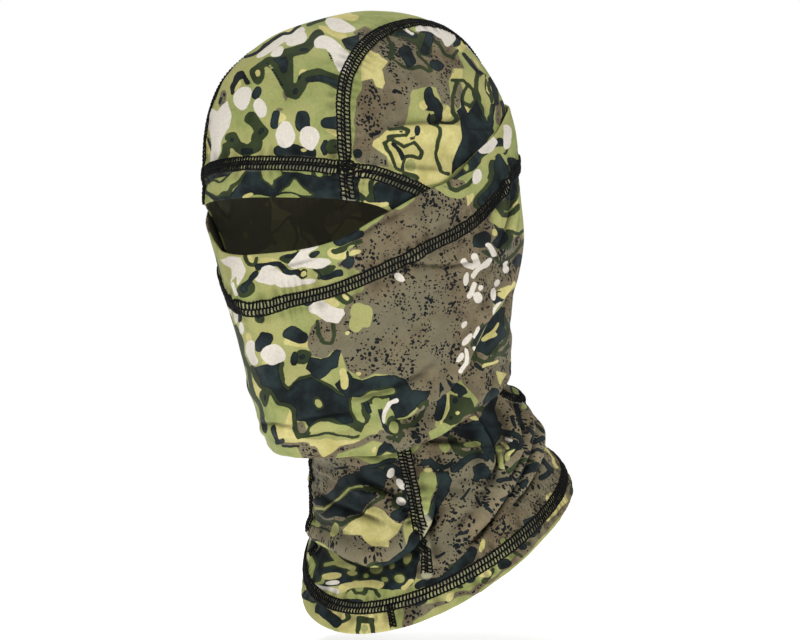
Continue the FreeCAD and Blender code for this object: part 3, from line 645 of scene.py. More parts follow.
# ---------------------------------------------------------------- reliefs
def on_hood(pairs, spacing=3.0):
    return dense([hood_at(a, z) for a, z in pairs], spacing)


def on_mask(pairs, spacing=3.0):
    return dense([mask_at(a, z) for a, z in pairs], spacing)


def on_neck(pairs, spacing=3.0):
    return dense([neck_at(a, t) for a, t in pairs], spacing)


CROWN_L4, CROWN_R4 = resample(CROWN_L, 4.0), resample(CROWN_R, 4.0)
BROW4 = resample(BROW_LINE, 4.0)
MASK4 = resample(MASK_HEM_LINE, 4.0)
HEM4 = resample(HEM_LINE, 4.0)
NAPE4 = resample(NAPE_LINE, 4.0)
NECK_L4, NECK_R4 = resample(NECK_L, 4.0), resample(NECK_R, 4.0)
JOIN4 = resample(JOIN_LINE, 3.0)


def deg_of(p, rings):
    return np.degrees(np.arctan2(p[..., 0], -(p[..., 1] - rings[0](p[..., 2]))))


HOOD_FOLDS = [
    (on_hood([(40, 256), (45.5, 257.5), (58.4, 259.2), (76.5, 260.6), (92, 259.9)]), 4.6, 1.5, "roll"),
    (on_hood([(46, 236.8), (51.2, 237.4), (62, 236.4), (74, 237)]), 4.2, 1.2, "roll"),
    (on_hood([(35.7, 250), (38.5, 252.0), (41.9, 253.4), (46, 254.8)]), 2.2, 0.6, "ridge"),
    (on_hood([(78.1, 257.1), (88, 258.6), (98.2, 259.5), (106, 262)]), 2.6, 0.9, "roll"),
    (on_hood([(60, 247), (72, 250), (86, 249), (100, 252)]), 4.0, 0.9, "ridge"),
    (on_hood([(-40, 257), (-58, 260), (-78, 259)]), 4.6, 1.3, "roll"),
    (on_hood([(-48, 238), (-62, 236), (-76, 238)]), 4.2, 1.1, "roll"),
    (on_hood([(-20, 232.5), (-4, 231.5), (10, 233.0), (24, 231.5)]), 2.6, 0.45, "ridge"),
]


def hood_relief(p, n):
    out = 0.42 * noise3(p, 30.0, 5) + 0.16 * noise3(p, 12.0, 6)
    out = out + seam_relief(p, CROWN_L4, 0.60, 0.34, 1) + seam_relief(p, CROWN_R4, 0.60, 0.34, 2)
    deg = np.abs(deg_of(p, HOOD))
    near = smoothstep(74, 66, deg) * smoothstep(205, 214, p[..., 2]) * (p[..., 1] < 20)
    out = out + near * seam_relief(p, BROW4, 0.55, 0.30, 3)
    below = brow_hem(deg) - p[..., 2]
    strip = smoothstep(-2.0, 2.5, below) * near
    d, s, k, total = polyline_distance(p, BROW4)
    out = out + 0.35 * strip + strip * 0.30 * noise3(np.stack([s * 1.0, below * 0.35, 0 * s], -1), 6.5, 9)
    slide = np.zeros(p.shape)
    for line, w, h, kind in HOOD_FOLDS:
        out = out + fold(p, n, line, w, h * 1.35, kind, ends=0.35, slide=slide)
    return out, slide


MASK_FOLDS = [
    # the loose outer layer ends in a long soft fold over the deeper one
    (on_mask([(124, 190), (117.7, 186.3), (109.9, 179.8), (100.9, 172.9), (95.9, 166.9), (89.7, 158), (85.8, 150),
              (80.4, 138.5), (71.8, 128.7), (62.9, 122.8), (52.2, 116.8), (40, 111)]), 2.6, 5.0, "step", 0.12, 26.0),
    # pull lines from the nose to the ear and over the cheek
    (on_mask([(26, 199.0), (36, 203.0), (47, 211.5), (58, 220.5)]), 3.4, 0.9, "roll", 0.4, None),
    (on_mask([(30, 187), (50, 203), (72, 221.5), (90, 238)]), 5.0, 1.0, "ridge", 0.4, None),
    (on_mask([(92, 197.5), (83.6, 194.7), (74.1, 192.2), (62.9, 192.2), (46, 194)]), 3.2, 1.1, "roll", 0.35, None),
    (on_mask([(10, 178), (2, 180), (-8, 184), (-18, 190)]), 3.0, 0.7, "ridge", 0.4, None),
    (on_mask([(6, 186), (14, 188.5), (24, 193.5)]), 2.6, 0.7, "roll", 0.4, None),
    (on_mask([(96, 192), (104, 205), (110, 220), (116, 238)]), 4.0, 1.5, "roll", 0.35, None),
    (on_mask([(92, 208), (99, 219), (104, 233), (108, 247)]), 3.0, 1.1, "ridge", 0.35, None),
    (on_mask([(66, 168), (78, 173), (88, 181), (94, 190)]), 6.0, 0.9, "ridge", 0.4, None),
    (on_mask([(18, 119), (34, 121), (50, 127), (62, 134), (74, 146)]), 5.0, 1.3, "roll", 0.35, None),
    (on_mask([(4, 110.5), (18, 112), (34, 115)]), 3.6, 1.2, "roll", 0.35, None),
    (on_mask([(-30, 110), (-16, 108), (-2, 108.5), (10, 107)]), 3.4, 1.2, "roll", 0.35, None),
    (on_mask([(-4, 133), (-1, 142), (2, 152), (2, 162)]), 6.0, 0.7, "ridge", 0.4, None),
    (on_mask([(-113, 175), (-96, 168), (-88, 152), (-76, 134), (-60, 122), (-42, 112), (-28, 105)]), 2.6, 4.6,
     "step", 0.16, 24.0),
    (on_mask([(-22, 122), (-38, 126), (-54, 136), (-66, 150)]), 5.0, 1.2, "roll", 0.35, None),
    (on_mask([(140, 190), (160, 178), (180, 174), (200, 178), (220, 190)]), 6.0, 1.6, "roll", 0.35, None),
    (on_mask([(135, 160), (158, 150), (182, 146), (205, 151), (226, 162)]), 5.0, 1.6, "roll", 0.35, None),
    (on_mask([(150, 235), (168, 226), (190, 224), (210, 232)]), 6.5, 1.0, "ridge", 0.35, None),
]


def mask_relief(p, n):
    deg = deg_of(p, MASK)
    z = p[..., 2]
    out = 0.50 * noise3(p, 34.0, 15) + 0.18 * noise3(p, 13.0, 16)
    out = out + seam_relief(p, MASK4, 0.55, 0.36, 4)
    # nose under the cloth
    w = wrap(deg)
    out = out + 2.6 * np.exp(-(w / 11.0) ** 2) * smoothstep(140, 172, z) * smoothstep(206, 188, z)
    out = out - 1.0 * np.exp(-((w - 22.0) / 9.0) ** 2) * smoothstep(145, 165, z) * smoothstep(200, 185, z)
    # chin
    out = out + 1.6 * np.exp(-(w / 20.0) ** 2 - ((z - 121.0) / 13.0) ** 2)
    out = out - 0.9 * np.exp(-(w / 26.0) ** 2 - ((z - 140.0) / 7.0) ** 2)
    # turned hem: doubled cloth with slack in it
    d, s, k, total = polyline_distance(p, MASK4)
    above = smoothstep(-1, 4, z - mask_hem(signed(deg)))
    out = out + 0.30 * above + above * 0.55 * noise3(np.stack([s, (z - 150) * 0.25, 0 * s], -1), 15.0, 19)
    # gathered cloth low on the mask, running round it
    low = smoothstep(0, 10, (mask_fold(w) + 34) - z)
    out = out + low * 0.8 * noise3(np.stack([s * 0.28, z * 1.0, 0 * s], -1), 9.0, 21)
    slide = np.zeros(p.shape)
    for line, wd, h, kind, ends, w2 in MASK_FOLDS:
        out = out + fold(p, n, line, wd, h * (1.0 if kind == "step" else 1.7), kind, ends=ends, width2=w2,
                         slide=slide)
    # fine drawn lines that run round the head, where the cloth is pulled towards the ears
    ring = np.stack([s * 0.16, z * 1.0 - 0.30 * s, 0 * s], -1)
    drawn = np.maximum(0, 1 - np.abs(noise3(ring, 7.5, 41)) * 2.6) * smoothstep(40, 70, w) * smoothstep(135, 100, w)
    out = out + 0.45 * drawn * smoothstep(0, 12, mask_edge(w) - z)
    # the lower edge hangs unevenly
    rim = smoothstep(16, 0, z - mask_fold(w))
    out = out + rim * 1.3 * noise3(np.stack([s, 0 * s, 0 * s], -1), 21.0, 43)
    # the top edge lies close on the hood
    out = out - 0.9 * smoothstep(14, 1, mask_edge(w) - z) * smoothstep(75, 98, w)
    # and the lower edge stands off the neck
    out = out + 1.5 * smoothstep(11, 0, z - mask_fold(w)) * smoothstep(20, 45, w) * smoothstep(160, 130, w)
    slide = slide * smoothstep(1, 9, z - mask_fold(w))[..., None] * smoothstep(1, 9, mask_edge(w) - z)[..., None]
    return out, slide


NECK_FOLDS = [
    # pleats that fan out from under the back corner of the mask
    (on_neck([(106.5, 1.02), (108.2, .857), (106, .754), (102.1, .662), (94.8, .596), (85.8, .551), (75.7, .491)]),
     4.0, 5.2, "roll", 0.22),
    (on_neck([(133, .80), (129.5, .717), (112.1, .599), (95.9, .524), (76.9, .426), (64, .338), (55.6, .278),
              (49, .24)]), 4.6, 6.4, "roll", 0.22),
    (on_neck([(140, .60), (134, .564), (122.8, .479), (107.1, .429), (89.7, .378), (76.9, .333)]), 4.6, 4.8, "roll", 0.25),
    (on_neck([(80.2, .98), (81.9, .805), (81.3, .694), (78, .607), (71.3, .544)]), 3.6, 3.6, "roll", 0.25),
    (on_neck([(38.8, .323), (44.9, .396), (53.3, .461), (61.7, .489), (69.6, .529)]), 4.6, 2.6, "ridge", 0.35),
    # the upper cloth hangs over the lower across the throat
    (on_neck([(48, .62), (44, .56), (40, .50), (36, .445), (32, .40), (26.5, .363), (18.6, .331), (8.5, .321),
              (-4.4, .358), (-21.2, .386), (-44, .36), (-66, .33)]), 2.4, 5.6, "step", 0.14),
    (on_neck([(29.8, .772), (30.9, .657), (25.9, .554), (27.6, .454)]), 3.4, 1.5, "ridge", 0.3),
    (on_neck([(-1, .787), (10, .70), (22.7, .622), (28.9, .504), (31, .43)]), 4.6, 2.0, "roll", 0.35),
    (on_neck([(-44, .60), (-24, .58), (-4, .56), (14, .50), (26, .44)]), 5.0, 1.9, "roll", 0.35),
    (on_neck([(-46, .80), (-24, .86), (0, .88), (20, .82), (34, .74)]), 4.6, 2.0, "roll", 0.35),
    (on_neck([(40, .90), (50, .84), (60, .80), (70, .78)]), 4.4, 2.0, "roll", 0.3),
    (on_neck([(40, .70), (50, .66), (60, .66), (70, .70)]), 4.4, 1.6, "ridge", 0.3),
    (on_neck([(100, .42), (112, .36), (126, .32), (142, .30)]), 5.0, 1.6, "ridge", 0.3),
    (on_neck([(150, .56), (180, .50), (210, .56)]), 6.5, 3.0, "roll", 0.3),
    (on_neck([(140, .40), (180, .32), (220, .40)]), 6.5, 2.6, "roll", 0.3),
    (on_neck([(-106.5, 1.0), (-108, .84), (-102, .66), (-86, .55), (-76, .49)]), 4.2, 3.2, "roll", 0.22),
    (on_neck([(-133, .78), (-112, .60), (-96, .52), (-77, .43), (-60, .32)]), 4.8, 3.8, "roll", 0.22),
    (on_neck([(-52, .52), (-66, .56), (-84, .64), (-104, .68)]), 5.0, 2.4, "roll", 0.3),
]


def neck_relief(p, n):
    out = 0.7 * noise3(p, 26.0, 25) + 0.25 * noise3(p, 11.0, 26)
    ends = seam_relief(p, NECK_L4, 0.5, 0.4, 5) + seam_relief(p, NECK_R4, 0.5, 0.4, 6)
    out = out + ends + seam_relief(p, HEM4, 0.5, 0.35, 7) + seam_relief(p, NAPE4, 0.5, 0.35, 8)
    d, s, k, total = polyline_distance(p, HEM4)
    calm = smoothstep(2, 14, d)
    slide = np.zeros(p.shape)
    for line, w, h, kind, ends in NECK_FOLDS:
        out = out + calm * fold(p, n, line, w, h, kind, ends=ends, width2=22.0 if kind == "step" else None,
                                slide=slide)
    # the tube is slack: small gathers that run round it on a slope
    round_ = np.stack([s * 0.22, (p[..., 2]) * 1.0 + 0.12 * s, 0 * s], -1)
    gathers = np.maximum(0, 1 - np.abs(noise3(round_, 11.0, 45)) * 2.2)
    out = out + calm * 0.8 * gathers
    return out - 0.3 * np.exp(-(d / 3.0) ** 2), slide * calm[..., None]


def hem_relief(p, n):
    out, slide = neck_relief(p, n)
    return out + 0.15 * noise3(p, 7.0, 28), slide * 0


# ---------------------------------------------------------------- the cloth pieces
RES = 1.0


def res(n):
    return int(round(n * RES))


def make_crown():
    k = np.linspace(-1, 1, res(96))
    w = np.linspace(0, 1, res(300))
    first = brow_turn(np.abs(k))
    kk, ww = np.meshgrid(k, w, indexing="ij")
    turn = first[:, None] + (BACK_TURN - first[:, None]) * ww
    base = crown_at(turn, kk * crown_half(np.maximum(turn, 0)))
    return Cloth("hood_crown", base, thick=0.8, relief=hood_relief)


def make_side(sign):
    nu, nv = (res(300), res(240)) if sign > 0 else (res(190), res(150))
    u, v = np.linspace(0, 1, nu), np.linspace(0, 1, nv)
    t0, t1 = START, START + 0.70 * (BACK_TURN - START)
    tt = t0 + (t1 - t0) * u
    top = crown_at(tt, crown_half(np.maximum(tt, 0)))
    tb = t1 + (BACK_TURN - t1) * v
    back = crown_at(tb, crown_half(np.maximum(tb, 0)))
    d0 = float(hood_deg(top[:1])[0])
    share = 0.25
    dd = np.where(v < share, d0 + (46.0 - d0) * v / share, 46.0 + 11.0 * np.sin(np.minimum(2 * (v - share) / (1 - share), 1) * PI / 2))
    low57 = 127.5 - 18 * math.cos(math.radians(57))
    zz = np.where(v < share, brow(dd), float(brow(46.0)) + (low57 - float(brow(46.0))) * (v - share) / (1 - share))
    front = hood_at(dd, zz)
    front[0] = top[0]
    last = float(hood_deg(back[-1:])[0])
    db = 57.0 + (last - 57.0) * u
    low = 127.5 - 18 * np.cos(np.radians(db))
    gap = back[-1, 2] - low[-1]
    bottom = hood_at(db, low + gap * ((db - 57) / (last - 57)) ** 4)
    uu, vv = np.meshgrid(u, v, indexing="ij")
    U, V = uu[..., None], vv[..., None]
    P = ((1 - V) * top[:, None] + V * bottom[:, None] + (1 - U) * front[None] + U * back[None]
         - (1 - U) * (1 - V) * top[0] - U * (1 - V) * top[-1] - (1 - U) * V * bottom[0] - U * V * bottom[-1])
    P = hood_cast(P - CENTRE)
    P = P * np.array([sign, 1, 1])
    return Cloth("hood_side_left" if sign > 0 else "hood_side_right", P, thick=0.8, relief=hood_relief)


def make_mask():
    nu, nv = res(560), res(160)
    phi = np.arange(nu) * 360.0 / nu
    v = np.linspace(0, 1, nv)
    f, e = mask_fold(wrap(phi)), mask_edge(wrap(phi))
    # the turned rim rests on the neck, pulled up a little under the right of the jaw
    f = f + 2.2 * np.clip(np.cos(np.radians(phi)), 0, 1) + 5.0 * np.exp(-((signed(phi) + 50.0) / 32.0) ** 2)
    pp, vv = np.meshgrid(phi, v, indexing="ij")
    zz = f[:, None] + (e - f)[:, None] * vv
    base = mask_at(pp, zz)
    c = Cloth("mask_cloth", base, closed=True, relief=mask_relief)
    # the cloth turns under at its lowest edge and goes back up inside
    w = np.radians(phi)
    r = 1.25 + 1.5 * np.clip(np.cos(w), 0, 1) ** 1.5 + 0.6 * np.clip(-np.cos(w), 0, 1)
    first = c.p[:, 0]
    inward = -first * np.array([1, 1, 0]) + np.array([0, 4.0, 0])
    inward /= np.linalg.norm(inward, axis=1, keepdims=True)
    down = np.array([0, 0, -1.0])
    rows = []
    for up in (9.0, 6.0, 3.0):
        rows.append(first + inward * (2 * r)[:, None] - down * up)
    for ang in (180, 150, 120, 90, 60, 30):
        a = math.radians(ang)
        rows.append(first + inward * (r * (1 - math.cos(a)))[:, None] + down * (r * math.sin(a))[:, None])
    extra = np.stack(rows, 1)
    p = np.concatenate([extra, c.p], 1)
    pat = np.concatenate([base[:, :1] + np.array([0, 0, -1.0]) * np.linspace(26, 2, len(rows))[None, :, None], base], 1)
    full = Cloth("mask_cloth", p, closed=True, thick=0.0, relief=lambda q, m: (np.zeros(q.shape[:-1]), 0.0))
    full.base = pat
    full.painted_shading = np.concatenate([np.repeat(c.painted_shading[:, :1], len(rows), 1), c.painted_shading], 1)
    zfull = full.p[..., 2]
    dbl = smoothstep(-2, 1, zfull - mask_hem(signed(deg_of(full.p, MASK))))
    full.thick = 0.75 + 0.6 * dbl
    return full


def make_neck(name, a0, a1, nu, t0=None, t1=1.0):
    phi = np.linspace(a0, a1, res(nu))
    t = np.linspace(0, 1, res(210))
    lo = hem_share(wrap(phi)) if t0 is None else t0 + 0 * phi
    pp, tt = np.meshgrid(phi, t, indexing="ij")
    share = lo[:, None] + (t1 - lo[:, None]) * tt
    shift = np.where(a0 > 0, 1 - (pp - a0) / (a1 - a0), (pp - a0) / (a1 - a0))
    # follow the wandering left seam
    off = 2.0 * np.sin((share - 0.2) * 7.0) * (1 - share) * (share > 0.2)
    near_l = np.exp(-((signed(pp) - SEAM_L) / 14.0) ** 2)
    base = neck_at(pp + off * near_l, share)

    def relief(p, n):
        out, slide = neck_relief(p, n)
        tuck = smoothstep(0.70, 0.90, share) * smoothstep(20, 50, wrap(pp)) * smoothstep(125, 100, wrap(pp))
        return out - 1.6 * tuck, slide
    return Cloth(name, base, thick=0.8, relief=relief)


def make_hem():
    phi = np.arange(res(520)) * 360.0 / res(520)
    t = np.linspace(0, 1, res(44))
    hi = hem_share(wrap(phi))
    pp, tt = np.meshgrid(phi, t, indexing="ij")
    base = neck_at(pp, hi[:, None] * tt)
    return Cloth("hem_cloth", base, closed=True, thick=1.8, relief=hem_relief)


crown = make_crown()
side_l, side_r = make_side(1), make_side(-1)
mask = make_mask()
neck_f = make_neck("neck_cloth_front", SEAM_R, SEAM_L, 190)
neck_b = make_neck("neck_cloth_back", SEAM_L, 360.0 + SEAM_R, 420)
hem = make_hem()


# ---------------------------------------------------------------- print layout
# The print is laid out on the side that shows most: a flat chart, x to the right and y
# down, one unit about 0.53 mm.  Elsewhere the cloth's own random fields draw the same print.
AZ = math.radians(38.0)
RIGHT = np.array([math.cos(AZ), math.sin(AZ), 0.0])
AHEAD = np.array([-math.sin(AZ), math.cos(AZ), 0.0])
EYE = RIGHT * 11.13 + np.array([0, 0, 163.0]) - AHEAD * 1500.0
FOCAL = 2830.0
UNIT = 0.53


def chart(p):
    q = p - EYE
    d = q @ AHEAD
    return np.stack([400 + FOCAL * (q @ RIGHT) / d, 320 - FOCAL * q[..., 2] / d], -1)


def facing(p, n):
    v = EYE - p
    v /= np.linalg.norm(v, axis=-1, keepdims=True)
    return smoothstep(-0.03, 0.07, (v * n).sum(-1))


def shape_field(c, items):
    """Signed distance in mm, positive inside, to a union of ellipses, strokes and outlines."""
    out = np.full(c.shape[:-1], -60.0)
    for it in items:
        kind, a = it[0], it[1:]
        if kind == "e":            # centre, half sizes, tilt in degrees
            x, y, rx, ry = a[:4]
            t = math.radians(a[4]) if len(a) > 4 else 0.0
            dx, dy = c[..., 0] - x, c[..., 1] - y
            ux, uy = dx * math.cos(t) + dy * math.sin(t), -dx * math.sin(t) + dy * math.cos(t)
            q = np.sqrt((ux / rx) ** 2 + (uy / ry) ** 2) + 1e-6
            g = np.sqrt((ux / rx ** 2) ** 2 + (uy / ry ** 2) ** 2) + 1e-6
            f = -(q - 1) * q / g
            f = np.minimum(f, min(rx, ry))
        elif kind == "s":          # half width, then the points of a stroke
            r, pts = a[0], np.array(a[1], float)
            f = np.full(c.shape[:-1], -1e3)
            for p0, p1 in zip(pts[:-1], pts[1:]):
                ab = p1 - p0
                t = np.clip(((c - p0) @ ab) / max(ab @ ab, 1e-9), 0, 1)
                f = np.maximum(f, r - np.linalg.norm(c - p0 - t[..., None] * ab, axis=-1))
        else:                      # "o": closed outline
            pts = np.array(a[0], float)
            d = np.full(c.shape[:-1], 1e3)
            inside = np.zeros(c.shape[:-1], bool)
            for p0, p1 in zip(pts, np.roll(pts, -1, 0)):
                ab = p1 - p0
                t = np.clip(((c - p0) @ ab) / max(ab @ ab, 1e-9), 0, 1)
                d = np.minimum(d, np.linalg.norm(c - p0 - t[..., None] * ab, axis=-1))
                cross = ((p0[1] > c[..., 1]) != (p1[1] > c[..., 1]))
                with np.errstate(divide="ignore", invalid="ignore"):
                    xi = p0[0] + (c[..., 1] - p0[1]) * ab[0] / (ab[1] if abs(ab[1]) > 1e-9 else 1e-9)
                inside ^= cross & (c[..., 0] < xi)
            f = np.where(inside, d, -d)
        out = np.maximum(out, f * UNIT)
    return out


